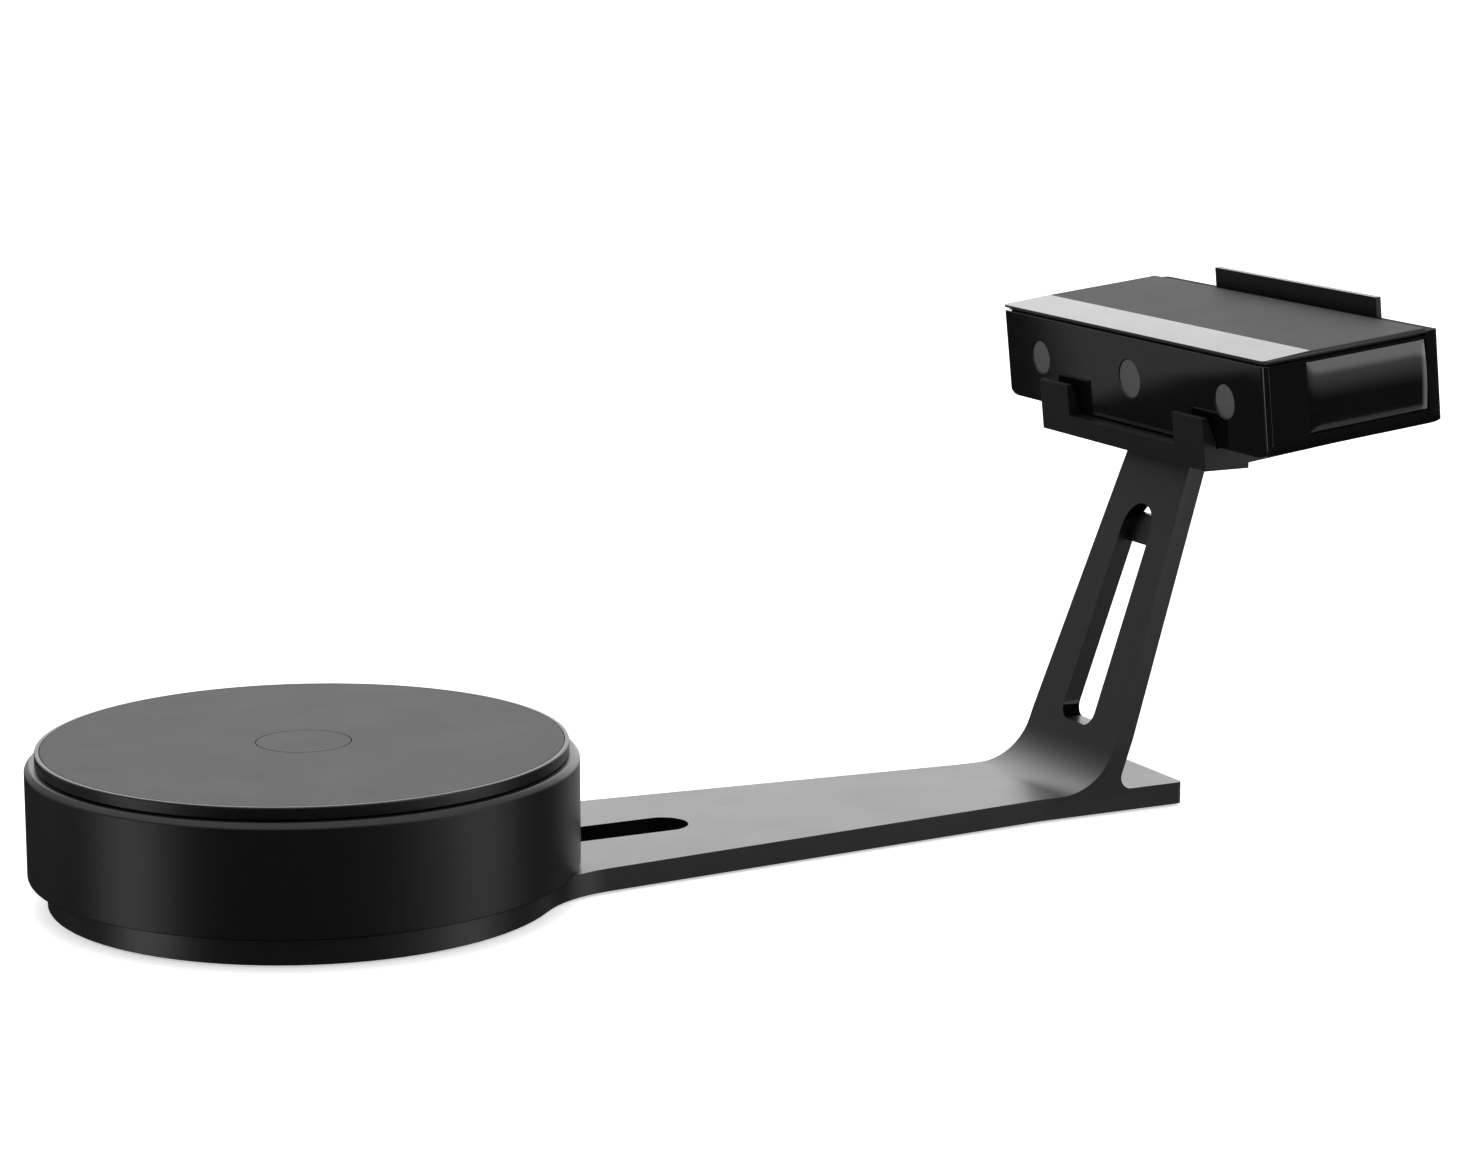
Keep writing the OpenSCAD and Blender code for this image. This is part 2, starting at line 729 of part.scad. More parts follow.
// A snap-in bridge in the upper part of the slot, level with the column's rear face
module cable_clip() color(BLACK) {
    z1 = clip_z + clip_h;
    intersection() {
        across(4 * slot_half_w) polygon([
            [column_front(clip_z) + column_run - clip_t, clip_z],
            [column_front(clip_z) + column_run, clip_z],
            [column_front(z1) + column_run, z1],
            [column_front(z1) + column_run - clip_t, z1]
        ]);
        along(column_x, reach * 2) intersection() {
            column_slot_outline();
            polygon([
                [loose_gap - slot_edge(clip_z), clip_z], [slot_edge(clip_z) - loose_gap, clip_z],
                [slot_edge(z1) - loose_gap - 1.6, z1], [loose_gap + 1.6 - slot_edge(z1), z1]
            ]);
        }
    }
}

// ---------------------------------------------------------------- cradle

module head_cradle() color(DARK) at_head() difference() {
    union() {
        translate([0, 0, shelf_bottom]) linear_extrude(shelf_t) polygon([
            [-lip_reach, -cradle_half_w], [cradle_taper_u, -cradle_half_w],
            [cradle_end_u, -back_half_w], [cradle_end_u, back_half_w],
            [cradle_taper_u, cradle_half_w], [-lip_reach, cradle_half_w]
        ]);
        for (side = [-1, 1]) translate([0, side * (cradle_half_w - prong_w / 2), 0])
            across(prong_w) polygon([
                [-lip_reach, shelf_top - 1], [-slide_gap, shelf_top - 1],
                [-slide_gap, shelf_top + prong_root_h],
                [prong_tip_t - lip_reach, shelf_top + prong_h], [-lip_reach, shelf_top + prong_h]
            ]);
        block([back_u, -back_half_w, shelf_top - 1], [cradle_end_u, back_half_w, back_rise]);
    }
    translate([tripod_u, 0, 0]) bar(shelf_hole_r, shelf_bottom - 1, shelf_top + 1);
    for (u = cradle_screw_u, side = [-1, 1]) translate([u, side * cradle_screw_w, 0]) {
        bar(screw_r + loose_gap, shelf_bottom - 1, shelf_top + 1);
        bar(screw_head_r + loose_gap, shelf_top - screw_head_h - loose_gap, shelf_top + 1);
    }
}

module cradle_pads() color(BLACK) at_head() {
    middle = cradle_half_w - cradle_pad_inset - cradle_pad_w / 2;
    for (side = [-1, 1])
        block([8, side * middle - cradle_pad_w / 2, shelf_top],
            [head_d - 12, side * middle + cradle_pad_w / 2, cradle_pad_top]);
}

module cradle_screws() color(STEEL) at_head() for (u = cradle_screw_u, side = [-1, 1])
    translate([u, side * cradle_screw_w, shelf_top - screw_head_h - loose_gap])
        mirror([0, 0, 1]) screw(screw_r, screw_head_r, screw_head_h, shelf_t + flange_t - 4);

// ---------------------------------------------------------------- turntable

// Floor of the turntable, which carries the spindle, the motor bracket and the board
module base_pan() color(DARK) difference() {
    union() {
        bar(inner_r - loose_gap, pan_z, floor_z);
        bar(post_r, floor_z - eps, post_top);
        bar(spindle_r + bearing_ring_t - 0.3, post_top - eps, bearing_z);
        for (p = board_posts) translate(p) bar(3, floor_z - eps, socket_z - board_t);
    }
    bar(spindle_r + push_gap, floor_z, bearing_z + 1);
    bar(boss_r + slide_gap, pan_z - 1, plate_top + boss_h + slide_gap);
    at_ring(4, shell_screw_ring_r, 30) {
        bar(screw_r + loose_gap, pan_z - 1, floor_z + 1);
        bar(screw_head_r + loose_gap, pan_z - 1, pan_z + screw_head_h);
    }
    for (p = board_posts) translate(p) bar(1.1, floor_z, socket_z);
}

module housing_shell() color(BLACK) difference() {
    union() {
        rotate_extrude() polygon([
            [inner_r, pan_z], [housing_r, pan_z], [housing_r, deck_top - housing_bevel],
            [housing_r - housing_bevel, deck_top], [deck_hole_r, deck_top],
            [deck_hole_r, deck_z], [inner_r, deck_z]
        ]);
        at_ring(4, shell_screw_ring_r, 30) bar(4, floor_z, deck_z + eps);
    }
    at_ring(4, shell_screw_ring_r, 30) bar(screw_r + push_gap, floor_z - 1, floor_z + 10);
    block([inner_r - 4, -socket_size[1] / 2 - loose_gap, socket_z - loose_gap],
        [housing_r + 1, socket_size[1] / 2 + loose_gap, socket_z + socket_size[2] + loose_gap]);
}

module turntable_feet() color(BLACK) at_ring(4, foot_ring_r, 0) bar(foot_r, plate_top, pan_z);

module housing_screws() color(STEEL) at_ring(4, shell_screw_ring_r, 30)
    translate([0, 0, pan_z + screw_head_h]) screw(screw_r, screw_head_r, screw_head_h, housing_screw_l);

module spindle() color(STEEL) difference() {
    bar(spindle_r, floor_z, spindle_top);
    difference() {
        bar(spindle_r + 1, retainer_z, retainer_z + retainer_t + push_gap);
        bar(spindle_r - 0.8, retainer_z - 1, retainer_z + retainer_t + 1);
    }
    bar(1.5, spindle_top - 4, spindle_top + 1);
}

module spindle_retainer() color(STEEL) difference() {
    bar(spindle_r + 1.8, retainer_z, retainer_z + retainer_t);
    bar(spindle_r - 0.8 + push_gap, retainer_z - 1, retainer_z + retainer_t + 1);
    block([0, -4, retainer_z - 1], [spindle_r * 2, 4, retainer_z + retainer_t + 1]);
}

module race() translate([ball_pitch_r, bearing_z + bearing_w / 2]) circle(r = race_r);

module bearing_inner_ring() color(STEEL) rotate_extrude() difference() {
    translate([spindle_r + push_gap, bearing_z]) square([bearing_ring_t - push_gap, bearing_w]);
    race();
}

module bearing_outer_ring() color(STEEL) rotate_extrude() difference() {
    translate([bearing_r - bearing_ring_t, bearing_z]) square([bearing_ring_t - push_gap, bearing_w]);
    race();
}

module ball_places() at_ring(ball_count, ball_pitch_r, 180 / ball_count)
    translate([0, 0, bearing_z + bearing_w / 2]) children();

module bearing_balls() color(STEEL) ball_places() sphere(r = ball_r);

module bearing_cage() color(BRASS) {
    cage_t = 1;
    difference() {
        bar(ball_pitch_r + cage_t / 2, bearing_z + 1, bearing_z + bearing_w - 1);
        bar(ball_pitch_r - cage_t / 2, bearing_z, bearing_z + bearing_w);
        ball_places() rotate([0, 90, 0]) bar(ball_r + 0.12, -1.5 * cage_t, 1.5 * cage_t);
    }
}

module hub_bush() color(BRASS) difference() {
    bar(bush_r, bush_z, disc_z);
    bar(spindle_r + running_gap, bush_z - 1, disc_z + 1);
}

module platter() color(GREY) difference() {
    union() {
        rotate_extrude() polygon([
            [0, disc_z], [platter_r - rim_w, disc_z], [platter_r - rim_w, rim_z],
            [platter_r, rim_z], [platter_r, platter_top - 0.4], [platter_r - 0.4, platter_top],
            [platter_r - mat_inset, platter_top], [platter_r - mat_inset, mat_z], [0, mat_z]
        ]);
        bar(hub_r, bearing_z, disc_z + eps);
        at_ring(4, gear_screw_r, 45) bar(4.5, gear_top, disc_z + eps);
    }
    bar(bearing_r, bearing_z - 1, bearing_z + bearing_w);
    bar(spindle_r + 1.5, bearing_z, mat_z + 1);
    bar(bush_r + push_gap, bush_z, disc_z);
    bar(well_r, disc_z, mat_z + 1);
    at_ring(4, gear_screw_r, 45) bar(screw_r + push_gap, gear_top - 1, gear_top + 7);
}

module platter_mat() color(GREY) difference() {
    bar(platter_r - mat_inset - loose_gap, mat_z, platter_top);
    bar(cap_r + 2 * loose_gap, mat_z - 1, platter_top + 1);
}

module platter_cap() color(GREY) bar(cap_r, mat_z, platter_top);

// Angle of an involute from a base circle, at radius r
function involute(base_r, r) = r <= base_r ? 0
    : tan(acos(base_r / r)) * 180 / PI - acos(base_r / r);

// Half of a tooth's angle at radius r
function tooth_half(teeth, r) = let(
    pitch_r = gear_module * teeth / 2,
    base_r = pitch_r * cos(pressure_angle)
) 90 / teeth - backlash / 4 / pitch_r * 180 / PI + involute(base_r, pitch_r) - involute(base_r, r);

function gear_points(teeth) = let(
    pitch_r = gear_module * teeth / 2,
    root_r = pitch_r - dedendum,
    low_r = max(root_r + 0.01, pitch_r * cos(pressure_angle)),
    flank = low_r > root_r + 0.1
        ? [root_r, low_r, pitch_r, pitch_r + addendum] : [root_r, pitch_r, pitch_r + addendum]
) [for (i = [0 : teeth - 1], side = [-1, 1], j = [0 : len(flank) - 1]) let(
    r = side < 0 ? flank[j] : flank[len(flank) - 1 - j],
    a = i * 360 / teeth + side * tooth_half(teeth, max(r, low_r))
) [r * cos(a), r * sin(a)]];

module platter_gear() color(BLACK) difference() {
    translate([0, 0, gear_z]) linear_extrude(gear_w) difference() {
        polygon(gear_points(gear_teeth));
        circle(r = gear_bore_r);
    }
    at_ring(4, gear_screw_r, 45) bar(screw_r + loose_gap, gear_z - 1, gear_top + 1);
}

module gear_screws() color(STEEL) at_ring(4, gear_screw_r, 45)
    translate([0, 0, gear_z]) screw(screw_r, screw_head_r, screw_head_h, gear_w + 5);

module at_motor() translate([-centre_distance, 0, 0]) children();

module motor_screw_places() for (x = [-1, 1], y = [-1, 1])
    translate([x * motor_screw_pitch / 2, y * motor_screw_pitch / 2, 0]) children();

module stepper_motor() color(STEEL) at_motor() difference() {
    union() {
        translate([0, 0, motor_z]) linear_extrude(motor_l) intersection() {
            square(motor_side, center = true);
            rotate(45) square(motor_side * 1.26, center = true);
        }
        bar(motor_boss_r, bracket_z - eps, bracket_z + bracket_t - 0.2);
    }
    bar(motor_shaft_r + running_gap, motor_z + 4, bracket_z + bracket_t + 1);
    motor_screw_places() bar(motor_screw_r + push_gap, bracket_z - 5, bracket_z + 1);
}

// Bridge over the motor, on four legs that stand on the pan
module motor_bracket() color(STEEL) at_motor() difference() {
    union() {
        block([-leg_x - leg_r, -leg_y - leg_r, bracket_z],
            [leg_x + leg_r, leg_y + leg_r, bracket_z + bracket_t]);
        for (x = [-1, 1], y = [-1, 1])
            translate([x * leg_x, y * leg_y, 0]) bar(leg_r, floor_z, bracket_z + eps);
    }
    bar(motor_boss_r + loose_gap, bracket_z - 1, bracket_z + bracket_t + 1);
    motor_screw_places() bar(motor_screw_r + loose_gap, bracket_z - 1, bracket_z + bracket_t + 1);
}

module motor_screws() color(STEEL) at_motor() motor_screw_places()
    translate([0, 0, bracket_z + bracket_t]) mirror([0, 0, 1])
        screw(motor_screw_r, 2 * motor_screw_r - 0.1, 1.5, bracket_t + 4);

module motor_shaft() color(STEEL) at_motor() bar(motor_shaft_r, motor_z + 4.3, gear_top);

module pinion() color(BRASS) at_motor() difference() {
    union() {
        rotate([0, 0, 180 / pinion_teeth]) translate([0, 0, gear_z]) linear_extrude(gear_w)
            polygon(gear_points(pinion_teeth));
        bar(pinion_pitch_r * 0.55, gear_z - 1.6, gear_z + eps);
    }
    bar(motor_shaft_r + push_gap, gear_z - 3, gear_top + 1);
}

module turntable_board() color(GREEN) difference() {
    block([table_board_x - table_board_d, -table_board_w / 2, socket_z - board_t],
        [table_board_x, table_board_w / 2, socket_z]);
    for (p = board_posts) translate(p) bar(1.3, floor_z, socket_z + 1);
}

module turntable_socket() color(BLACK) {
    x1 = housing_r - 0.4;
    difference() {
        block([x1 - socket_size[0], -socket_size[1] / 2, socket_z],
            [x1, socket_size[1] / 2, socket_z + socket_size[2]]);
        block([x1 - port_depth, -port_hollow[0] / 2, socket_z + (socket_size[2] - port_hollow[1]) / 2],
            [x1 + 1, port_hollow[0] / 2, socket_z + (socket_size[2] + port_hollow[1]) / 2]);
    }
}

// ---------------------------------------------------------------- head shells

// Front view of the head, drawn in by a margin
module head_front_outline(inset) {
    low_r = max(head_lower_r - inset, 0.4);
    high_r = max(head_upper_r - inset, 0.4);
    w = half_w - inset;
    z0 = -head_h + inset;
    z1 = -inset;
    for (side = [-1, 1]) {
        translate([side * (w - low_r), z0 + low_r]) circle(r = low_r);
        translate([side * (w - high_r), z1 - high_r]) circle(r = high_r);
    }
    polygon([
        [low_r - w, z0], [w - low_r, z0], [w, z0 + low_r], [w, z1 - high_r],
        [w - high_r, z1], [high_r - w, z1], [-w, z1 - high_r], [-w, z0 + low_r]
    ]);
}

// The head seen from above, drawn in by a margin
module head_plan_outline(inset) {
    front_r = max(head_front_r - inset, 0.4);
    back_r = max(head_rear_r - inset, 0.4);
    w = half_w - inset;
    u1 = head_d - inset;
    for (side = [-1, 1]) {
        translate([inset + front_r, side * (w - front_r)]) circle(r = front_r);
        translate([u1 - back_r, side * (w - back_r)]) circle(r = back_r);
    }
    polygon([
        [inset + front_r, -w], [u1 - back_r, -w], [u1, back_r - w], [u1, w - back_r],
        [u1 - back_r, w], [inset + front_r, w], [inset, w - front_r], [inset, front_r - w]
    ]);
}

// The head's whole body between two depths and two heights, drawn in by a margin
module head_body(inset, u0, u1, t0, t1) {
    intersection() {
        along(u0, u1) intersection() {
            head_front_outline(inset);
            translate([-half_w, t0]) square([head_w, t1 - t0]);
        }
        translate([0, 0, -head_h - 1]) linear_extrude(head_h + 2) head_plan_outline(inset);
    }
}

module shell_posts(r, t0, t1) for (u = shell_post_u, side = [-1, 1])
    translate([u, side * shell_post_w, 0]) bar(r, t0, t1);

module bench_posts(r, t0, t1) for (p = bench_post, side = [-1, 1])
    translate([p[0], side * p[1], 0]) bar(r, t0, t1);

module side_pocket(side, gap, t0) {
    low = -head_h + head_lower_r;
    w0 = side > 0 ? half_w - t0 : -half_w - 1;
    w1 = side > 0 ? half_w + 1 : t0 - half_w;
    block([side_panel_u + gap, w0, low + gap], [rear_u - gap, w1, shell_top - 1.2 - gap]);
}

module head_bottom_shell() color(BLACK) at_head() difference() {
    union() {
        difference() {
            head_body(0, front_t, rear_u, -head_h, shell_top);
            head_body(head_wall, -1, head_d + 1, -head_h, 1);
        }
        intersection() {
            union() {
                shell_posts(shell_post_r, floor_t - 1, -head_wall - 5);
                bench_posts(4, floor_t - 1, bench_z);
                translate([tripod_u, 0, 0]) bar(tripod_boss_r, floor_t - 1, -head_h + tripod_l);
                for (side = [-1, 1])
                    block([board_u - 2, side * board_rib_w - 2, floor_t - 1],
                        [rear_u - 0.5, side * board_rib_w + 2, floor_t + board_lift + 3]);
            }
            head_body(0.5, -1, head_d + 1, -head_h, 1);
        }
    }
    for (side = [-1, 1]) side_pocket(side, 0, side_panel_t);
    shell_posts(screw_r + loose_gap, -head_h - 1, 0);
    shell_posts(screw_head_r + loose_gap, -head_h - 1, -head_h + screw_head_h);
    bench_posts(screw_r + push_gap, floor_t, bench_z + 1);
    translate([tripod_u, 0, 0]) bar(tripod_outer_r + push_gap, -head_h - 1, -head_h + tripod_l + 1);
    block([board_u - push_gap, -board_rib_w - 3, floor_t + board_lift],
        [board_u + board_t + push_gap, board_rib_w + 3, 0]);
    for (side = [-1, 1], i = [0 : vent_count - 1])
        translate([0, side * (half_w - vent_inset - i * vent_pitch), 0])
            block([vent_u[0], -vent_w / 2, -head_h - 1], [vent_u[1], vent_w / 2, floor_t + 1]);
}

// Lid with the sloping band along its front edge
module head_top_cover() color(GREY) at_head() difference() {
    union() {
        head_body(0, -1, rear_u, -skirt_h, 1);
        cover_lip();
        shell_posts(shell_post_r, -head_wall - 5, -skirt_h + eps);
    }
    band_wedge();
    shell_posts(screw_r + push_gap, -head_h, -head_wall);
}

// The lip runs inside the front and the sides, and the rear cap closes the fourth side
module cover_lip() {
    lip_inset = front_t + loose_gap;
    translate([0, 0, shell_top - lip_l]) linear_extrude(seam + lip_l + eps) intersection() {
        difference() {
            head_plan_outline(lip_inset);
            head_plan_outline(lip_inset + lip_t);
        }
        translate([0, -half_w]) square([rear_u, head_w]);
    }
}

// The wedge that is taken off above the band
module band_wedge() across(head_w + 2) polygon([
    [-1, -band_drop - band_drop / band_d], [band_d, 0], [band_d, 2], [-1, 2]
]);

module front_panel() color(BLACK) at_head() difference() {
    head_body(0, -1, front_t, -head_h - 1, shell_top);
    for (side = [-1, 1]) window_hole(side * camera_w, camera_window_r);
    window_hole(0, projector_window_r);
}

module window_hole(w, r) translate([0, w, -lens_drop]) {
    rod_u(r + 0.1, -1, window_inset + window_t);
    rod_u(r - window_ledge, -1, front_t + 1);
}

module window_glass(w, r) translate([0, w, -lens_drop])
    rod_u(r, window_inset, window_inset + window_t);

module camera_windows() color(GREY) at_head()
    for (side = [-1, 1]) window_glass(side * camera_w, camera_window_r);

module projector_window() color(GREY) at_head() window_glass(0, projector_window_r);

module side_panel(side) at_head() intersection() {
    head_body(0, 0, head_d, -head_h, 0);
    side_pocket(side, loose_gap, side_panel_t);
}

module left_side_panel() color(BLACK) side_panel(1);

module right_side_panel() color(BLACK) side_panel(-1);

// Side view of the head's rear end
module rear_outline() {
    u1 = head_d;
    polygon([
        [rear_u - 1, -head_h], [u1 - head_lower_r, -head_h], [u1, head_lower_r - head_h],
        [u1, -cap_drop - cap_top_r], [u1 - cap_top_r, -cap_drop], [rear_u - 1, -cap_drop]
    ]);
    translate([u1 - head_lower_r, head_lower_r - head_h]) circle(r = head_lower_r);
    translate([u1 - cap_top_r, -cap_drop - cap_top_r]) circle(r = cap_top_r);
}

module rear_cap() color(BLACK) at_head() difference() {
    intersection() {
        head_body(0, rear_u, head_d + 1, -head_h - 1, 1);
        across(head_w + 2) rear_outline();
    }
    cavity_w = half_w - cap_wall - 2;
    middle_w = back_half_w + slide_gap + head_wall;
    block([rear_u - 1, -cavity_w, cap_wall - head_h],
        [back_u - slide_gap - head_wall, cavity_w, -cap_wall]);
    for (side = [-1, 1]) {
        mid_w = side * (cavity_w + middle_w) / 2;
        block([rear_u - 1, mid_w - (cavity_w - middle_w) / 2, cap_wall - head_h],
            [head_d - head_wall, mid_w + (cavity_w - middle_w) / 2, -cap_wall]);
    }
    block([back_u - slide_gap, -back_half_w - slide_gap, -head_h - 1],
        [head_d + 1, back_half_w + slide_gap, 1]);
    usb_place() socket_hole(usb_size);
    port_place() socket_hole(port_size);
    power_place() rod_u(jack_r + loose_gap, -1, 20);
    button_place() rod_u(button_r + running_gap * 2, -1, 20);
}

// ---------------------------------------------------------------- head contents

module socket_hole(size)
    block([-1, -size[0] / 2 - loose_gap, -size[1] / 2 - loose_gap],
        [head_d, size[0] / 2 + loose_gap, size[1] / 2 + loose_gap]);

module usb_place() translate([board_u + board_t, -socket_w_inner, socket_t]) children();
module port_place() translate([board_u + board_t, socket_w_inner, socket_t]) children();
module power_place() translate([board_u + board_t, -socket_w_outer, socket_t]) children();
module button_place() translate([board_u + board_t, socket_w_outer, socket_t]) children();

module optical_bench() color(STEEL) at_head() difference() {
    union() {
        block([6, -bench_half_w, bench_z], [bench_side_u, bench_half_w, bench_top]);
        block([6, -bench_mid_w, bench_z], [bench_end_u, bench_mid_w, bench_top]);
    }
    bench_posts(screw_r + loose_gap, bench_z - 1, bench_top + 1);
    for (side = [-1, 1]) block([shell_post_u[0] - 6, side * shell_post_w - 6, bench_z - 1],
        [shell_post_u[0] + 6, side * shell_post_w + 6, bench_top + 1]);
}

module bench_screws() color(STEEL) at_head() for (p = bench_post, side = [-1, 1])
    translate([p[0], side * p[1], bench_top]) mirror([0, 0, 1])
        screw(screw_r, screw_head_r, screw_head_h, bench_t + bench_lift);

module camera_block(side) at_head() difference() {
    translate([camera_u, side * camera_w - camera_side / 2, bench_top])
        cube([camera_d, camera_side, -lens_drop + camera_side / 2 - bench_top]);
    translate([0, side * camera_w, -lens_drop]) rod_u(4, camera_u - 1, camera_u + 8);
}

module left_camera() color(DARK) camera_block(1);

module right_camera() color(DARK) camera_block(-1);

module lens_barrel(w, r, u1) translate([0, w, -lens_drop]) difference() {
    union() {
        rod_u(r - window_ledge - 0.3, front_t + 0.8, u1);
        rod_u(r - window_ledge - 1, front_t + 0.4, front_t + 1);
    }
    rod_u(r - window_ledge - 2, front_t, front_t + 2);
}

module camera_lenses() color(BLACK) at_head()
    for (side = [-1, 1]) lens_barrel(side * camera_w, camera_window_r, camera_u);

module projector_engine() color(DARK) at_head() difference() {
    block([engine_u, -engine_w / 2, bench_top], [engine_u + engine_d, engine_w / 2, -engine_top_gap]);
    translate([0, 0, -lens_drop]) rod_u(5, engine_u - 1, engine_u + 10);
}

module projector_lens() color(BLACK) at_head() lens_barrel(0, projector_window_r, engine_u);

module heat_sink() color(STEEL) at_head() {
    u0 = engine_u + engine_d;
    fin_pitch = (engine_w - 4 - fin_t) / (fin_count - 1);
    low = -head_h + tripod_l + 1;
    block([u0, 2 - engine_w / 2, low], [u0 + sink_base_t, engine_w / 2 - 2, -engine_top_gap]);
    for (i = [0 : fin_count - 1])
        translate([u0 + sink_base_t - eps, 2 - engine_w / 2 + i * fin_pitch, low])
            cube([sink_d - sink_base_t, fin_t, -engine_top_gap - low]);
}

module at_fan() translate([fan_u, fan_w0, fan_mid_t]) rotate([-90, 0, 0]) children();

module fan_frame() color(BLACK) at_head() at_fan() difference() {
    union() {
        difference() {
            translate([-fan_side / 2, -fan_side / 2, 0]) cube([fan_side, fan_side, fan_t]);
            bar(fan_bore_r, -1, fan_t + 1);
        }
        for (a = [90, 210, 330])
            rotate([0, 0, a]) translate([0, -1, 0]) cube([fan_bore_r + 0.7, 2, spider_t]);
        bar(fan_hub_r, 0, spider_t);
    }
    at_ring(4, (fan_side / 2 - 2.6) * sqrt(2), 45) bar(1.6, -1, fan_t + 1);
}

module fan_rotor() color(BLACK) at_head() at_fan() {
    pitch = 35;
    bar(fan_hub_r, spider_t + slide_gap, fan_t - 0.4);
    for (i = [0 : blade_count - 1]) rotate([0, 0, i * 360 / blade_count]) intersection() {
        translate([fan_hub_r - 1, 0, (fan_t + 1) / 2]) rotate([pitch, 0, 0])
            translate([0, -5, -0.5]) cube([rotor_r, 10, 1]);
        bar(rotor_r, spider_t + slide_gap, fan_t - 0.4);
    }
}

module main_board() color(GREEN) at_head()
    block([board_u, -board_half_w, floor_t + board_lift], [board_u + board_t, board_half_w, -7]);

module board_chips() color(BLACK) at_head() {
    for (i = [0, 1]) block([board_u - chip_t, -chip_w - i * chip_pitch - chip_side / 2, chip_t0],
        [board_u, -chip_w - i * chip_pitch + chip_side / 2, chip_t0 + chip_side]);
    block([board_u - 1.6 * chip_t, 4 - board_half_w, chip_t0],
        [board_u, 4 - board_half_w + chip_side / 1.75, chip_t0 + chip_side]);
    block([board_u + board_t, -connector_w / 2, chip_t0 + 3],
        [board_u + board_t + 2 * chip_t, connector_w / 2, chip_t0 + chip_side - 3]);
}

module socket_shell(size, hollow, depth) difference() {
    block([0, -size[0] / 2, -size[1] / 2], [socket_len, size[0] / 2, size[1] / 2]);
    block([socket_len - depth, -hollow[0] / 2, -hollow[1] / 2],
        [socket_len + 1, hollow[0] / 2, hollow[1] / 2]);
}

module usb_socket() color(STEEL) at_head() usb_place() socket_shell(usb_size, [8.6, 7.8], 7);

module turntable_port() color(BLACK) at_head() port_place() socket_shell(port_size, port_hollow, 7);

module power_socket() color(BLACK) at_head() power_place() difference() {
    rod_u(jack_r, 0, socket_len);
    difference() {
        rod_u(3.2, 2, socket_len + 1);
        rod_u(1, 0, socket_len - 1);
    }
}

module button_switch() color(BLACK) at_head() button_place() {
    block([0, -3, -3], [2, 3, 3]);
    rod_u(1.5, 2 - eps, socket_len - head_wall - 1.2 - button_travel - 0.1);
}

module power_button() color(BLACK) at_head() button_place() {
    wall_in = socket_len + 0.4 - head_wall;
    rod_u(button_r, wall_in - 1.2 + eps, socket_len + 0.4 + button_proud);
    rod_u(button_r + 0.8, wall_in - 1.2, wall_in - 0.1);
}

module tripod_insert() color(BRASS) at_head() translate([tripod_u, 0, 0]) difference() {
    bar(tripod_outer_r, -head_h, -head_h + tripod_l);
    bar(tripod_r, -head_h - 1, -head_h + tripod_l + 1);
}

module shell_screws() color(STEEL) at_head() for (u = shell_post_u, side = [-1, 1])
    translate([u, side * shell_post_w, -head_h + screw_head_h])
        screw(screw_r, screw_head_r, screw_head_h, head_h - screw_head_h - head_wall - 1);

// ---------------------------------------------------------------- the whole

stand_arm();
stand_pads();
cable_clip();
head_cradle();
cradle_pads();
cradle_screws();
base_pan();
housing_shell();
turntable_feet();
housing_screws();
spindle();
spindle_retainer();
bearing_inner_ring();
bearing_outer_ring();
bearing_balls();
bearing_cage();
hub_bush();
platter();
platter_mat();
platter_cap();
platter_gear();
gear_screws();
stepper_motor();
motor_bracket();
motor_screws();
motor_shaft();
pinion();
turntable_board();
turntable_socket();
head_bottom_shell();
head_top_cover();
front_panel();
left_side_panel();
right_side_panel();
rear_cap();
camera_windows();
projector_window();
optical_bench();
bench_screws();
left_camera();
right_camera();
camera_lenses();
projector_engine();
projector_lens();
heat_sink();
fan_frame();
fan_rotor();
main_board();
board_chips();
usb_socket();
power_socket();
turntable_port();
button_switch();
power_button();
tripod_insert();
shell_screws();
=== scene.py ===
"""Desktop scanner on its stand: dresses the measured parts with their real finishes.

Run as a script. Every piece is made by one operator of a small add-on, and the sizes and
colours that a user would change are properties of the scene.
"""
import json
import math

import bmesh
import bpy
from bpy.props import FloatProperty, FloatVectorProperty, IntProperty, PointerProperty
from bpy.types import Operator, Panel, PropertyGroup
from mathutils import Matrix, Vector

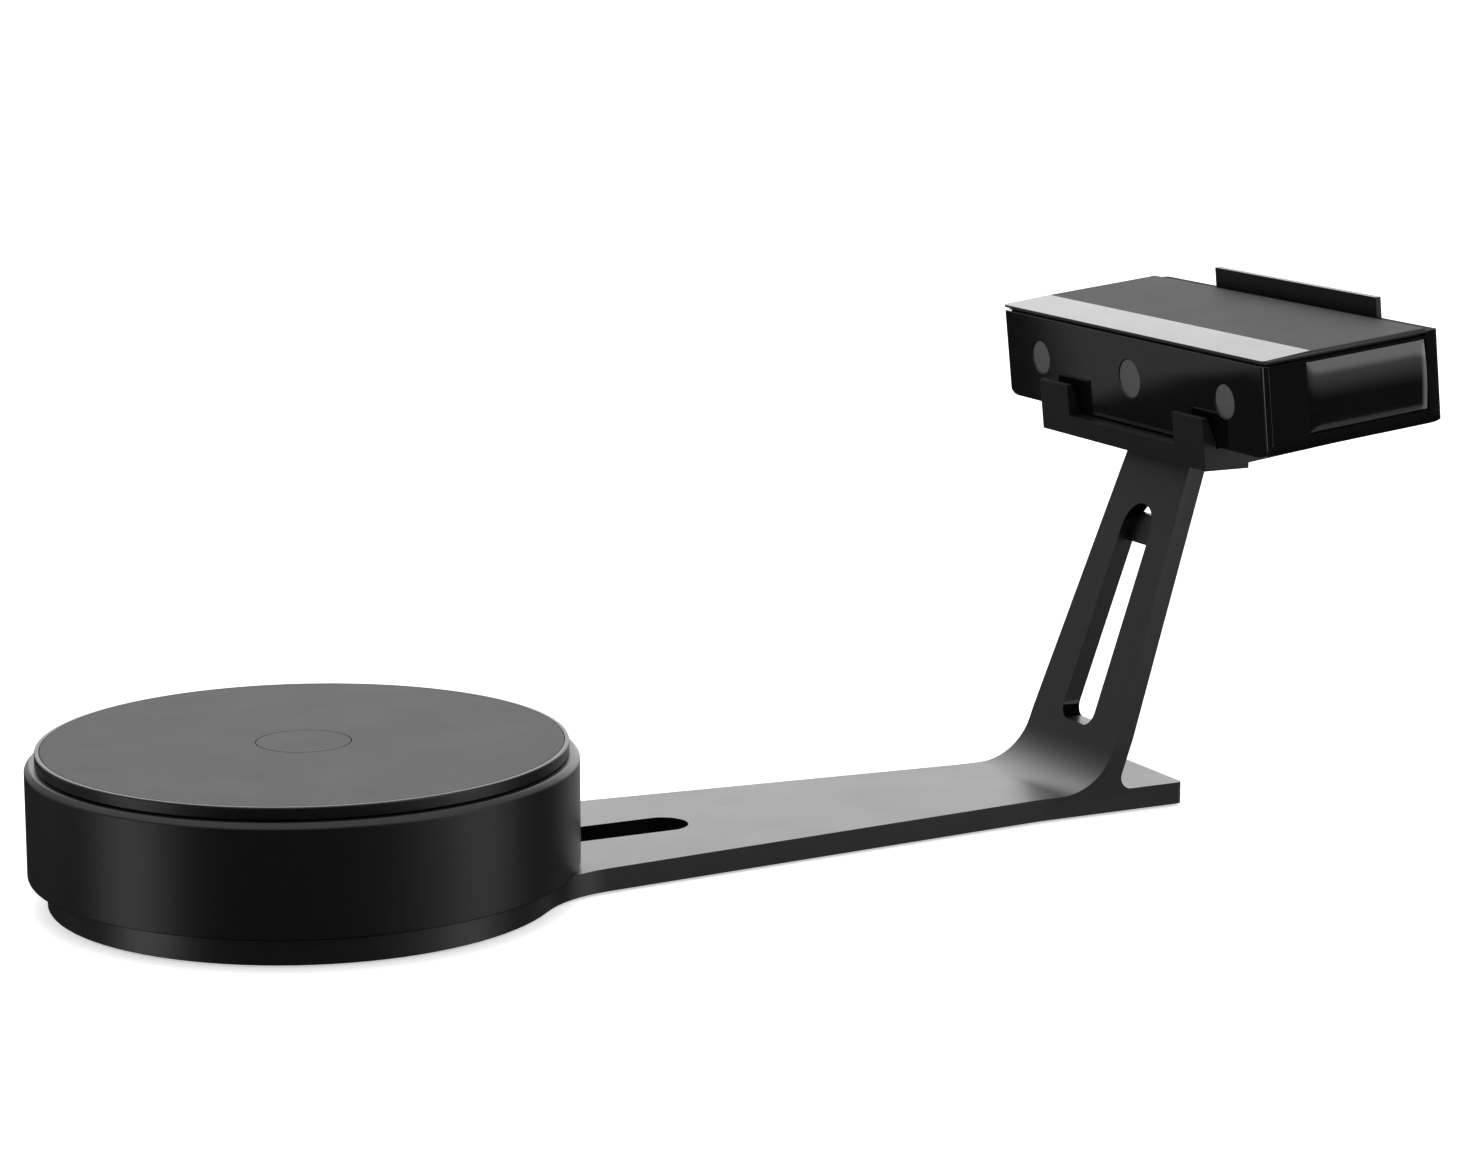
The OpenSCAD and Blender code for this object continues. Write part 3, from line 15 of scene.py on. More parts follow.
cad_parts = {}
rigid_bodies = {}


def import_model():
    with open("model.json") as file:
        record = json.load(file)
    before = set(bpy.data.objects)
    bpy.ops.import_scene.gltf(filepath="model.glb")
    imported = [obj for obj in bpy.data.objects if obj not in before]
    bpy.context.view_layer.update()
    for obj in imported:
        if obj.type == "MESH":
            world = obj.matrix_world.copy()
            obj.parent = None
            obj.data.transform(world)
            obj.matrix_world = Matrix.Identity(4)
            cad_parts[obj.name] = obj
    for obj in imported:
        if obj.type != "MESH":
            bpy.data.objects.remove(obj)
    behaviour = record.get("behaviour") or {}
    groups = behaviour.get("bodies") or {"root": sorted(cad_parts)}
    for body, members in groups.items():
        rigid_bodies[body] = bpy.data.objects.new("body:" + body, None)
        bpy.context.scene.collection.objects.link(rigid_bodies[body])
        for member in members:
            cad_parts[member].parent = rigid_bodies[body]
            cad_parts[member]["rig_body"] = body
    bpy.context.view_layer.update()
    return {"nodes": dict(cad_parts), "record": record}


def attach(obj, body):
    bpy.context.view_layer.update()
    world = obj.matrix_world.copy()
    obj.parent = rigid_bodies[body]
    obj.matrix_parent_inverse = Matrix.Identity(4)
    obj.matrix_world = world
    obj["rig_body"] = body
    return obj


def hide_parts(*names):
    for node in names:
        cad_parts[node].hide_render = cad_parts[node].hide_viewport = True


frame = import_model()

bl_info = {
    "name": "Desktop scanner",
    "version": (1, 0, 0),
    "blender": (4, 5, 0),
    "location": "3D View > Sidebar > Scanner",
    "description": "Finishes for a desktop scanner with a turntable and a two-camera head",
    "category": "Object",
}

NODES = frame["nodes"]
MM = 0.001
HEAD_PITCH = math.radians(6)
# The head's own frame: u runs back from its face, w across and t up
U_AXIS = Vector((math.cos(HEAD_PITCH), 0, math.sin(HEAD_PITCH)))
W_AXIS = Vector((0, 1, 0))
T_AXIS = Vector((-math.sin(HEAD_PITCH), 0, math.cos(HEAD_PITCH)))
HEAD_CORNER = Vector((363.3 * MM, 0, 195.9 * MM))
HEAD_TURN = Matrix.Translation(HEAD_CORNER) @ Matrix(
    (U_AXIS, W_AXIS, T_AXIS)).transposed().to_4x4()


# ------------------------------------------------------------------ settings


def colour(name, description, value):
    return FloatVectorProperty(name=name, description=description, subtype="COLOR", size=3,
                               min=0, max=1, default=value)


def length(name, description, value, top=0.1):
    return FloatProperty(name=name, description=description, default=value, min=0, max=top,
                         unit="LENGTH", precision=5)


def share(name, description, value):
    return FloatProperty(name=name, description=description, default=value, min=0, max=1,
                         subtype="FACTOR")


class FinishSettings(PropertyGroup):
    """Colours and surfaces of the scanner's finishes."""
    paint: colour("Stand paint", "Colour of the satin paint on the stand", (0.006, 0.006, 0.0065))
    paint_rough: share("Paint roughness", "Roughness of the stand's paint", 0.34)
    shell: colour("Housing plastic", "Colour of the moulded black plastic",
                  (0.0028, 0.0028, 0.003))
    shell_rough: share("Plastic roughness", "Roughness of the moulded plastic", 0.37)
    head: colour("Head plastic", "Colour of the head's matte black shells",
                 (0.0025, 0.0025, 0.0027))
    cover: colour("Top cover", "Colour of the head's grey cover", (0.027, 0.027, 0.028))
    band: colour("Front band", "Colour of the smooth band on the cover", (0.075, 0.075, 0.077))
    mat: colour("Platter mat", "Colour of the mat on the platter", (0.064, 0.064, 0.064))
    gloss: colour("Glossy panels", "Colour of the polished black panels", (0.0022, 0.0022, 0.0026))
    window: colour("Windows", "Colour of the coated lens windows", (0.075, 0.075, 0.078))
    rubber: colour("Rubber", "Colour of the pads and feet", (0.012, 0.012, 0.012))


class ShapeSettings(PropertyGroup):
    """Sizes of the small shapes that finish the parts."""
    stand_edge: length("Stand edge", "Rounding of the stand's machined edges", 0.0007, 0.003)
    shell_edge: length("Shell edge", "Rounding of the moulded edges", 0.0005, 0.002)
    panel_edge: length("Panel edge", "Rounding of the glossy panels' edges", 0.0003, 0.001)
    panel_crown: length("Side panel crown", "How far the side panels bulge", 0.00055, 0.0007)
    fan_blades: IntProperty(name="Fan blades", description="Number of blades on the fan",
                            default=7, min=3, max=13)
    fins: IntProperty(name="Fins", description="Number of fins on the heat sink", default=9,
                      min=3, max=15)
    balls: IntProperty(name="Bearing balls", description="Number of balls in the bearing",
                       default=9, min=5, max=11)


class StageSettings(PropertyGroup):
    """Camera and floor."""
    lens: FloatProperty(name="Lens", description="Focal length of the camera, in millimetres",
                        default=95.73, min=20, max=300)
    floor: share("Floor brightness", "How light the floor is", 0.9)


class ScannerSettings(PropertyGroup):
    """All settings of the scanner."""
    finish: PointerProperty(type=FinishSettings)
    shape: PointerProperty(type=ShapeSettings)
    stage: PointerProperty(type=StageSettings)


def settings():
    return bpy.context.scene.desk_scanner


# ------------------------------------------------------------------ material tools


class Surface:
    """A material that is put together node by node."""

    def __init__(self, name, base, rough, metal=0.0, **sockets):
        self.made = bpy.data.materials.new(name)
        self.made.use_nodes = True
        self.tree = self.made.node_tree
        self.shader = self.tree.nodes["Principled BSDF"]
        self.base = tuple(base)[:3]
        self.rough = rough
        self.set("Base Color", (*self.base, 1))
        self.set("Roughness", rough)
        self.set("Metallic", metal)
        for key, value in sockets.items():
            self.set(key.replace("_", " "), value)
        self.place = self.add("ShaderNodeTexCoord").outputs["Object"]

    def set(self, key, value):
        self.shader.inputs[key].default_value = value

    def add(self, kind, **values):
        node = self.tree.nodes.new(kind)
        for key, value in values.items():
            if hasattr(node, key):
                setattr(node, key, value)
            else:
                node.inputs[key.replace("_", " ")].default_value = value
        return node

    def link(self, a, b):
        self.tree.links.new(a, b)

    def stretched(self, scale, turn=(0, 0, 0)):
        """The object's own coordinates, scaled and turned."""
        node = self.add("ShaderNodeMapping", Scale=scale, Rotation=turn)
        self.link(self.place, node.inputs["Vector"])
        return node.outputs["Vector"]

    def noise(self, scale, detail, vector=None):
        node = self.add("ShaderNodeTexNoise", Scale=scale, Detail=detail)
        self.link(vector or self.place, node.inputs["Vector"])
        return node.outputs["Fac"]

    def tint(self, value, low, high):
        """The base colour times a number that follows value, from low to high."""
        ramp = self.add("ShaderNodeMix", data_type="RGBA")
        ramp.inputs["A"].default_value = (*(min(1, c * low) for c in self.base), 1)
        ramp.inputs["B"].default_value = (*(min(1, c * high) for c in self.base), 1)
        self.link(value, ramp.inputs["Factor"])
        self.link(ramp.outputs["Result"], self.shader.inputs["Base Color"])

    def vary_rough(self, value, spread):
        """The roughness follows value, by spread at most to either side."""
        ramp = self.add("ShaderNodeMapRange", To_Min=max(0, self.rough - spread),
                        To_Max=self.rough + spread)
        self.link(value, ramp.inputs["Value"])
        self.link(ramp.outputs["Result"], self.shader.inputs["Roughness"])

    def bump(self, value, distance, strength):
        """Relief that follows value, its height in metres."""
        node = self.add("ShaderNodeBump", Distance=distance, Strength=strength)
        self.link(value, node.inputs["Height"])
        self.link(node.outputs["Normal"], self.shader.inputs["Normal"])


MATERIALS = {}


def finish(name):
    """The material of that name, made when it is first asked for."""
    if name not in MATERIALS:
        MATERIALS[name] = FINISHES[name]()
    return MATERIALS[name]


def satin_paint():
    """Powder-coated metal: fine orange peel, a few soft rubbed places."""
    f = settings().finish
    s = Surface("satin_paint", f.paint, f.paint_rough, Specular_IOR_Level=0.5)
    s.vary_rough(s.noise(35, 4), 0.05)
    s.tint(s.noise(160, 3), 0.7, 1.35)
    s.bump(s.noise(2200, 2), 0.00002, 0.5)
    return s.made


def moulded_black():
    """Black plastic from an etched mould."""
    f = settings().finish
    s = Surface("moulded_black", f.shell, f.shell_rough, Specular_IOR_Level=0.42)
    s.vary_rough(s.noise(28, 4), 0.04)
    s.tint(s.noise(420, 3), 0.75, 1.3)
    s.bump(s.noise(3000, 2), 0.00002, 0.45)
    return s.made


def head_black():
    """The head's own shells: black, finely grained and without shine."""
    f = settings().finish
    s = Surface("head_black", f.head, 0.6, Specular_IOR_Level=0.04)
    s.vary_rough(s.noise(45, 4), 0.05)
    s.tint(s.noise(500, 3), 0.7, 1.35)
    s.bump(s.noise(3200, 2), 0.00002, 0.5)
    return s.made


def slot_shade_black():
    """Painted shade: near black for the inner walls of the cable slots, standing in for the shadow
    inside them.
    """
    s = Surface("slot_shade_black", (0.0012, 0.0012, 0.0012), 0.9, Specular_IOR_Level=0.03)
    s.vary_rough(s.noise(60, 4), 0.05)
    s.tint(s.noise(400, 3), 0.7, 1.4)
    s.bump(s.noise(1500, 3), 0.00004, 0.5)
    return s.made


def cover_grey():
    """Grey plastic with a fine sandy texture."""
    f = settings().finish
    s = Surface("cover_grey", f.cover, 0.58, Specular_IOR_Level=0.1)
    s.vary_rough(s.noise(30, 3), 0.05)
    s.tint(s.noise(1500, 2), 0.85, 1.15)
    s.bump(s.noise(2600, 3), 0.00003, 0.6)
    return s.made


def band_gloss():
    """The smooth band along the cover's front edge."""
    f = settings().finish
    s = Surface("band_gloss", f.band, 0.22, Specular_IOR_Level=0.25)
    s.vary_rough(s.noise(40, 3), 0.04)
    s.tint(s.noise(90, 3), 0.94, 1.06)
    s.bump(s.noise(700, 2), 0.00001, 0.2)
    return s.made


def gloss_black():
    """Polished black plastic with hairline scuffs."""
    f = settings().finish
    s = Surface("gloss_black", f.gloss, 0.035, Specular_IOR_Level=1.0)
    s.vary_rough(s.noise(60, 5, s.stretched((1, 3, 1), (0.3, 0.2, 0.6))), 0.012)
    s.tint(s.noise(25, 3), 0.8, 1.25)
    s.bump(s.noise(45, 2), 0.00002, 0.02)
    return s.made


def mat_grey():
    """The platter's fine-grained mat."""
    f = settings().finish
    s = Surface("mat_grey", f.mat, 0.72, Specular_IOR_Level=0.35)
    s.vary_rough(s.noise(40, 4), 0.06)
    s.tint(s.noise(900, 4), 0.86, 1.14)
    s.bump(s.noise(2400, 3), 0.00005, 0.6)
    return s.made


def rubber_black():
    s = Surface("rubber_black", settings().finish.rubber, 0.8, Specular_IOR_Level=0.3)
    s.vary_rough(s.noise(120, 3), 0.08)
    s.tint(s.noise(300, 4), 0.7, 1.5)
    s.bump(s.noise(1800, 3), 0.00006, 0.6)
    return s.made


def lens_black():
    s = Surface("lens_black", (0.008, 0.008, 0.009), 0.5)
    s.vary_rough(s.noise(200, 3), 0.08)
    s.tint(s.noise(500, 3), 0.7, 1.4)
    s.bump(s.noise(2500, 2), 0.00002, 0.4)
    return s.made


def window_glass():
    """Coated window: a grey disc with a faint random mottle."""
    f = settings().finish
    s = Surface("window_glass", f.window, 0.12, Specular_IOR_Level=0.5)
    s.vary_rough(s.noise(90, 3), 0.03)
    s.tint(s.noise(260, 3), 0.85, 1.15)
    s.bump(s.noise(150, 2), 0.00001, 0.1)
    return s.made


def metal(name, base, rough, scale, stretch):
    """Bare metal with a grain that can be stretched along an axis."""
    s = Surface(name, base, rough, metal=1.0)
    grain = s.noise(scale, 4, s.stretched(stretch))
    s.vary_rough(grain, 0.08)
    s.tint(grain, 0.85, 1.1)
    s.bump(grain, 0.00001, 0.3)
    return s.made


def board_green():
    """Circuit board: solder mask over copper tracks."""
    s = Surface("board_green", (0.02, 0.12, 0.055), 0.35)
    tracks = s.add("ShaderNodeTexBrick", Scale=160.0, Mortar_Size=0.12)
    s.link(s.place, tracks.inputs["Vector"])
    s.tint(tracks.outputs["Fac"], 0.75, 1.5)
    s.vary_rough(s.noise(200, 3), 0.06)
    s.bump(tracks.outputs["Fac"], 0.00003, 0.4)
    return s.made


def motor_stack():
    """The motor's steel: thin sheets stacked along its axis."""
    s = Surface("motor_stack", (0.5, 0.5, 0.51), 0.38, metal=1.0)
    sheets = s.add("ShaderNodeTexWave", bands_direction="Z", Scale=420.0, Distortion=0.4)
    s.link(s.place, sheets.inputs["Vector"])
    s.tint(sheets.outputs["Fac"], 0.55, 1.1)
    s.vary_rough(s.noise(200, 3), 0.08)
    s.bump(sheets.outputs["Fac"], 0.00004, 0.6)
    return s.made


def contact_gold():
    s = Surface("contact_gold", (0.83, 0.62, 0.28), 0.25, metal=1.0)
    s.vary_rough(s.noise(400, 3), 0.06)
    s.tint(s.noise(250, 3), 0.85, 1.1)
    s.bump(s.noise(1200, 2), 0.00001, 0.3)
    return s.made


def chip_black():
    """Small parts on the boards: dark epoxy, a few of them paler."""
    s = Surface("chip_black", (0.02, 0.02, 0.021), 0.5)
    s.vary_rough(s.noise(300, 3), 0.08)
    s.tint(s.noise(90, 2), 0.4, 3.0)
    s.bump(s.noise(2500, 2), 0.00002, 0.4)
    return s.made


def gear_nylon():
    s = Surface("gear_nylon", (0.7, 0.68, 0.62), 0.45)
    s.vary_rough(s.noise(150, 3), 0.06)
    s.tint(s.noise(60, 4), 0.9, 1.06)
    s.bump(s.noise(1500, 2), 0.00002, 0.4)
    return s.made


def floor_white():
    stage = settings().stage
    s = Surface("floor_white", (stage.floor,) * 3, 0.9, Specular_IOR_Level=0.1)
    s.tint(s.noise(2, 3), 0.995, 1.005)
    s.set("Emission Color", (1, 1, 1, 1))
    s.set("Emission Strength", 0.55)
    return s.made


FINISHES = {
    "satin_paint": satin_paint, "moulded_black": moulded_black, "cover_grey": cover_grey,
    "band_gloss": band_gloss, "gloss_black": gloss_black, "mat_grey": mat_grey,
    "rubber_black": rubber_black, "lens_black": lens_black, "window_glass": window_glass,
    "steel": lambda: metal("steel", (0.62, 0.63, 0.65), 0.25, 300, (1, 1, 12)),
    "zinc_steel": lambda: metal("zinc_steel", (0.5, 0.51, 0.53), 0.35, 500, (1, 1, 1)),
    "brass": lambda: metal("brass", (0.72, 0.52, 0.24), 0.28, 300, (1, 1, 10)),
    "aluminium": lambda: metal("aluminium", (0.68, 0.69, 0.71), 0.4, 250, (6, 1, 1)),
    "board_green": board_green, "gear_nylon": gear_nylon, "floor_white": floor_white,
    "head_black": head_black, "slot_shade_black": slot_shade_black, "motor_stack": motor_stack,
    "contact_gold": contact_gold, "chip_black": chip_black,
}

SLOT_OF = {row["node"]: row["material_slot"] for row in frame["record"]["subparts"]}
FINISH_OF_SLOT = {
    "stand_black": "satin_paint", "matte_black": "moulded_black", "gloss_black": "gloss_black",
    "matte_grey": "cover_grey", "rubber_black": "rubber_black", "window_glass": "window_glass",
    "lens_black": "lens_black", "steel": "steel", "zinc_steel": "zinc_steel", "brass": "brass",
    "aluminium": "aluminium", "board_green": "board_green", "gear_nylon": "gear_nylon",
}


def finish_of(node):
    return finish(FINISH_OF_SLOT[SLOT_OF[node]])


def body_of(node):
    return NODES[node]["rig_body"]


# ------------------------------------------------------------------ shape tools

# Edges that turn more than this get rounded, and the small parts' edges by this many metres
EDGE_ANGLE = math.radians(30)
SMALL_EDGE = 0.0003
# Corners closer than this, in metres, and flat faces within this turn are joined
SAME_PLACE = 3e-6
SAME_PLANE = math.radians(0.4)


def merged(node):
    """A copy of a part's mesh with its corners joined and its flat faces whole."""
    shape = bmesh.new()
    shape.from_mesh(NODES[node].data)
    bmesh.ops.remove_doubles(shape, verts=shape.verts, dist=SAME_PLACE)
    bmesh.ops.dissolve_limit(shape, angle_limit=SAME_PLANE, verts=shape.verts,
                             edges=shape.edges, use_dissolve_boundaries=False)
    return shape


def smooth(mesh, angle):
    """Smooth shading, apart from edges sharper than the angle in degrees."""
    mesh.shade_smooth()
    mesh.set_sharp_from_angle(angle=math.radians(angle))


def piece_from(shape, name):
    """A scene object at the origin that holds a finished shape."""
    mesh = bpy.data.meshes.new(name)
    shape.to_mesh(mesh)
    shape.free()
    made = bpy.data.objects.new(name, mesh)
    bpy.context.scene.collection.objects.link(made)
    return made


def settle(made):
    """Turns an object's modifiers into plain mesh."""
    bpy.context.view_layer.update()
    seen = made.evaluated_get(bpy.context.evaluated_depsgraph_get())
    mesh = bpy.data.meshes.new_from_object(seen)
    made.modifiers.clear()
    made.data = mesh


def adopt(made, *nodes):
    """Lets a piece stand for parts: puts it on the first one's body and hides the parts."""
    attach(made, body_of(nodes[0]))
    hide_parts(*nodes)


def eased(node, name, width, segments=2, material=None):
    """A copy of a part with its sharp edges rounded, which stands for that part."""
    made = piece_from(merged(node), name)
    made.data.shade_smooth()
    rounding = made.modifiers.new("edges", "BEVEL")
    rounding.width = width
    rounding.segments = segments
    rounding.limit_method = "ANGLE"
    rounding.angle_limit = EDGE_ANGLE
    rounding.use_clamp_overlap = True
    even = made.modifiers.new("even", "WEIGHTED_NORMAL")
    even.weight = 100
    settle(made)
    made.data.materials.clear()
    made.data.materials.append(material or finish_of(node))
    adopt(made, node)
    return made


def dress(*nodes):
    """Gives carried-over parts their finish."""
    for node in nodes:
        part = NODES[node]
        part.data.materials.clear()
        part.data.materials.append(finish_of(node))


def ring_faces(shape, low, high):
    """Four-cornered faces between two closed rows of corners."""
    for i in range(len(low)):
        j = (i + 1) % len(low)
        shape.faces.new((low[i], low[j], high[j], high[i]))


def turned_shape(rings, sides=24):
    """A closed turned shape. Each ring is (radius, height), or (radius, height, corners)."""
    shape = bmesh.new()
    rows = []
    for ring in rings:
        radius, height = ring[:2]
        row = []
        for i in range(sides):
            angle = math.tau * i / sides
            reach = radius
            if len(ring) > 2:
                part = math.tau / ring[2]
                reach = radius * math.cos(part / 2) / math.cos(angle % part - part / 2)
            row.append(shape.verts.new((reach * math.cos(angle), reach * math.sin(angle), height)))
        rows.append(row)
    for low, high in zip(rows, rows[1:]):
        ring_faces(shape, low, high)
    shape.faces.new(rows[0][::-1])
    shape.faces.new(rows[-1])
    bmesh.ops.recalc_face_normals(shape, faces=shape.faces)
    return shape


# Corners of a screw's recess
HEXAGON = 6
# Radius of the shank, radius of the head and its height, in metres
SCREW = (0.0015, 0.00275, 0.0018)
MOTOR_SCREW = (0.00125, 0.0024, 0.0015)


def screw_shape(shank, head, height, length):
    """A pan-head screw with a hexagon recess, its head's seat at height 0 and its shank
    upwards."""
    hollow = 0.45 * head
    return turned_shape([
        (hollow * 0.98, -height / 2, HEXAGON), (hollow, -height * 0.99, HEXAGON),
        (hollow * 1.12, -height), (head * 0.8, -height), (head * 0.93, -height * 0.86),
        (head, -height * 0.6), (head, 0), (shank, 0), (shank, length - shank * 0.5),
        (shank * 0.55, length)])


# ------------------------------------------------------------------ patterns by rule


class Rule:
    """A tree of geometry nodes with named inputs, which ends realized and with its material."""

    def __init__(self, name, **inputs):
        self.tree = bpy.data.node_groups.new(name, "GeometryNodeTree")
        self.tree.is_modifier = True
        ports = self.tree.interface
        ports.new_socket(name="Geometry", in_out="INPUT", socket_type="NodeSocketGeometry")
        self.ports = {key: ports.new_socket(name=key.replace("_", " "), in_out="INPUT",
                                            socket_type="NodeSocket" + kind)
                      for key, kind in inputs.items()}
        ports.new_socket(name="Geometry", in_out="OUTPUT", socket_type="NodeSocketGeometry")
        self.inlet = self.tree.nodes.new("NodeGroupInput")

    def given(self, key):
        return self.inlet.outputs[key.replace("_", " ")]

    def node(self, kind, **values):
        """A node. Options take words, sockets take numbers or other sockets, and a socket
        that shares its name with others goes by its place, such as i0."""
        made = self.tree.nodes.new(kind)
        options = [key for key in values if hasattr(made, key)]
        for key in options:
            setattr(made, key, values.pop(key))
        for key, value in values.items():
            place = int(key[1:]) if key[0] == "i" and key[1:].isdigit() else key.replace("_", " ")
            if isinstance(value, bpy.types.NodeSocket):
                self.tree.links.new(value, made.inputs[place])
            else:
                made.inputs[place].default_value = value
        return made

    def add(self, kind, **values):
        """The first output of a new node."""
        return self.node(kind, **values).outputs[0]

    def joined(self, *shapes):
        both = self.tree.nodes.new("GeometryNodeJoinGeometry")
        for shape in shapes:
            self.tree.links.new(shape, both.inputs[0])
        return both.outputs[0]

    def maths(self, operation, a, b=0.0):
        return self.add("ShaderNodeMath", operation=operation, i0=a, i1=b)

    def xyz(self, x=0.0, y=0.0, z=0.0):
        return self.add("ShaderNodeCombineXYZ", X=x, Y=y, Z=z)

    def ending(self, shape, material):
        whole = self.add("GeometryNodeRealizeInstances", Geometry=shape)
        done = self.add("GeometryNodeSetMaterial", Geometry=whole, Material=material)
        outlet = self.tree.nodes.new("NodeGroupOutput")
        self.tree.links.new(done, outlet.inputs[0])

    def grow(self, name, place, points=(), **values):
        """The plain mesh that the rule gives for these values, as a new piece."""
        base = bpy.data.meshes.new(name)
        base.from_pydata([tuple(p) for p in points], [], [])
        made = bpy.data.objects.new(name, base)
        bpy.context.scene.collection.objects.link(made)
        live = made.modifiers.new("rule", "NODES")
        live.node_group = self.tree
        for key, value in values.items():
            live[self.ports[key].identifier] = value
        settle(made)
        made.data.transform(place)
        smooth(made.data, 35)
        if not len(made.data.polygons):
            raise RuntimeError("no shape for " + name)
        return made


def copies_rule(material):
    """One shape at each point, all turned alike."""
    rule = Rule("copies", Shape="Object", Turn="Vector")
    shape = rule.node("GeometryNodeObjectInfo", Object=rule.given("Shape"))
    spots = rule.add("GeometryNodeInstanceOnPoints", Points=rule.given("Geometry"),
                     Instance=shape.outputs["Geometry"], Rotation=rule.given("Turn"))
    rule.ending(spots, material)
    return rule


def repeated(name, node, pattern, points, place=Matrix(), turn=(0, 0, 0)):
    """Copies of a small shape at given points, which stand for a part."""
    helper = piece_from(pattern, name + "_pattern")
    made = copies_rule(finish_of(node)).grow(name, place, points, Shape=helper, Turn=turn)
    bpy.data.objects.remove(helper)
    adopt(made, node)


def ring_of(count, radius, height, turn=0.0):
    """Points round the turntable's axis, in metres."""
    return [(radius * math.cos(math.radians(turn) + i * math.tau / count),
             radius * math.sin(math.radians(turn) + i * math.tau / count), height)
            for i in range(count)]


def balls_rule(material):
    """Balls in a ring round the turntable's axis."""
    rule = Rule("balls", Count="Int", Ring="Float", Ball="Float", Lift="Float")
    ring = rule.add("GeometryNodeMeshCircle", Vertices=rule.given("Count"),
                    Radius=rule.given("Ring"))
    ring = rule.add("GeometryNodeTransform", Geometry=ring,
                    Translation=rule.xyz(z=rule.given("Lift")),
                    Rotation=rule.xyz(z=rule.maths("DIVIDE", math.pi, rule.given("Count"))))
    ball = rule.add("GeometryNodeMeshIcoSphere", Radius=rule.given("Ball"), Subdivisions=4)
    rule.ending(rule.add("GeometryNodeInstanceOnPoints", Points=ring, Instance=ball), material)
    return rule


# Slope of a fan blade at its root and how much flatter its tip is, in radians, the curve of
# its section, and how far its root reaches into the hub
BLADE_SLOPE = 0.72
BLADE_TWIST = 0.22
BLADE_CAMBER = 24.0
BLADE_ROOT = 0.0006


def fan_rule(material):
    """A hub with blades that twist flatter towards their tips."""
    rule = Rule("fan", Blades="Int", Hub="Float", Tip="Float", Low="Float", High="Float",
                Chord="Float", Wall="Float")
    maths = rule.maths
    hub_r, tip, low, high = (rule.given(k) for k in ("Hub", "Tip", "Low", "High"))
    tall = maths("SUBTRACT", high, low)
    middle = maths("MULTIPLY", maths("ADD", high, low), 0.5)
    hub = rule.add("GeometryNodeMeshCylinder", Vertices=48, Radius=hub_r, Depth=tall)
    hub = rule.add("GeometryNodeTransform", Geometry=hub, Translation=rule.xyz(z=middle))

    # A blade is a flat sheet that is bent, then thickened
    reach = maths("ADD", maths("SUBTRACT", tip, hub_r), BLADE_ROOT)
    sheet = rule.add("GeometryNodeMeshGrid", Size_X=reach, Size_Y=rule.given("Chord"),
                     Vertices_X=9, Vertices_Y=9)
    spot = rule.node("ShaderNodeSeparateXYZ", i0=rule.add("GeometryNodeInputPosition"))
    out = maths("ADD", spot.outputs[0], maths("MULTIPLY", reach, 0.5))
    slope = maths("SUBTRACT", BLADE_SLOPE, maths("MULTIPLY", maths("DIVIDE", out, reach),
                                                 BLADE_TWIST))
    across = spot.outputs[1]
    camber = maths("MULTIPLY", maths("MULTIPLY", across, across), BLADE_CAMBER)
    turned_y = maths("MULTIPLY", across, maths("COSINE", slope))
    turned_z = maths("ADD", maths("MULTIPLY", across, maths("SINE", slope)), camber)
    sheet = rule.add("GeometryNodeSetPosition", Geometry=sheet, Position=rule.xyz(
        maths("ADD", out, maths("SUBTRACT", hub_r, BLADE_ROOT)), turned_y,
        maths("ADD", turned_z, maths("SUBTRACT", middle, BLADE_ROOT / 2))))
    thick = rule.add("GeometryNodeExtrudeMesh", mode="FACES", Mesh=sheet, Individual=False,
                     Offset_Scale=rule.given("Wall"))
    back = rule.add("GeometryNodeFlipFaces", Mesh=sheet)
    blade = rule.add("GeometryNodeMergeByDistance", Geometry=rule.joined(thick, back),
                     Distance=0.00001)

    line = rule.add("GeometryNodeMeshLine", Count=rule.given("Blades"), Offset=(0, 0, 0))
    angle = maths("MULTIPLY", rule.add("GeometryNodeInputIndex"),
                  maths("DIVIDE", math.tau, rule.given("Blades")))
    blades = rule.add("GeometryNodeInstanceOnPoints", Points=line, Instance=blade,
                      Rotation=rule.xyz(z=angle))
    rule.ending(rule.joined(hub, blades), material)
    return rule


def row_rule(material):
    """A row of equal blocks and the plate that carries them."""
    rule = Rule("row", Count="Int", Start="Vector", Step="Vector", Block="Vector",
                Plate="Vector", Plate_at="Vector")
    line = rule.add("GeometryNodeMeshLine", Count=rule.given("Count"),
                    Start_Location=rule.given("Start"), Offset=rule.given("Step"))
    block = rule.add("GeometryNodeMeshCube", Size=rule.given("Block"))
    blocks = rule.add("GeometryNodeInstanceOnPoints", Points=line, Instance=block)
    plate = rule.add("GeometryNodeMeshCube", Size=rule.given("Plate"))
    plate = rule.add("GeometryNodeTransform", Geometry=plate, Translation=rule.given("Plate_at"))
    rule.ending(rule.joined(blocks, plate), material)
    return rule


# Share of the places on a board that hold a part, and the least and greatest of their sizes
# as shares of the usual part
BOARD_FILL = 0.62
PART_LEAST = (0.6, 0.4, 0.35)
PART_MOST = (2.2, 1.3, 1.0)


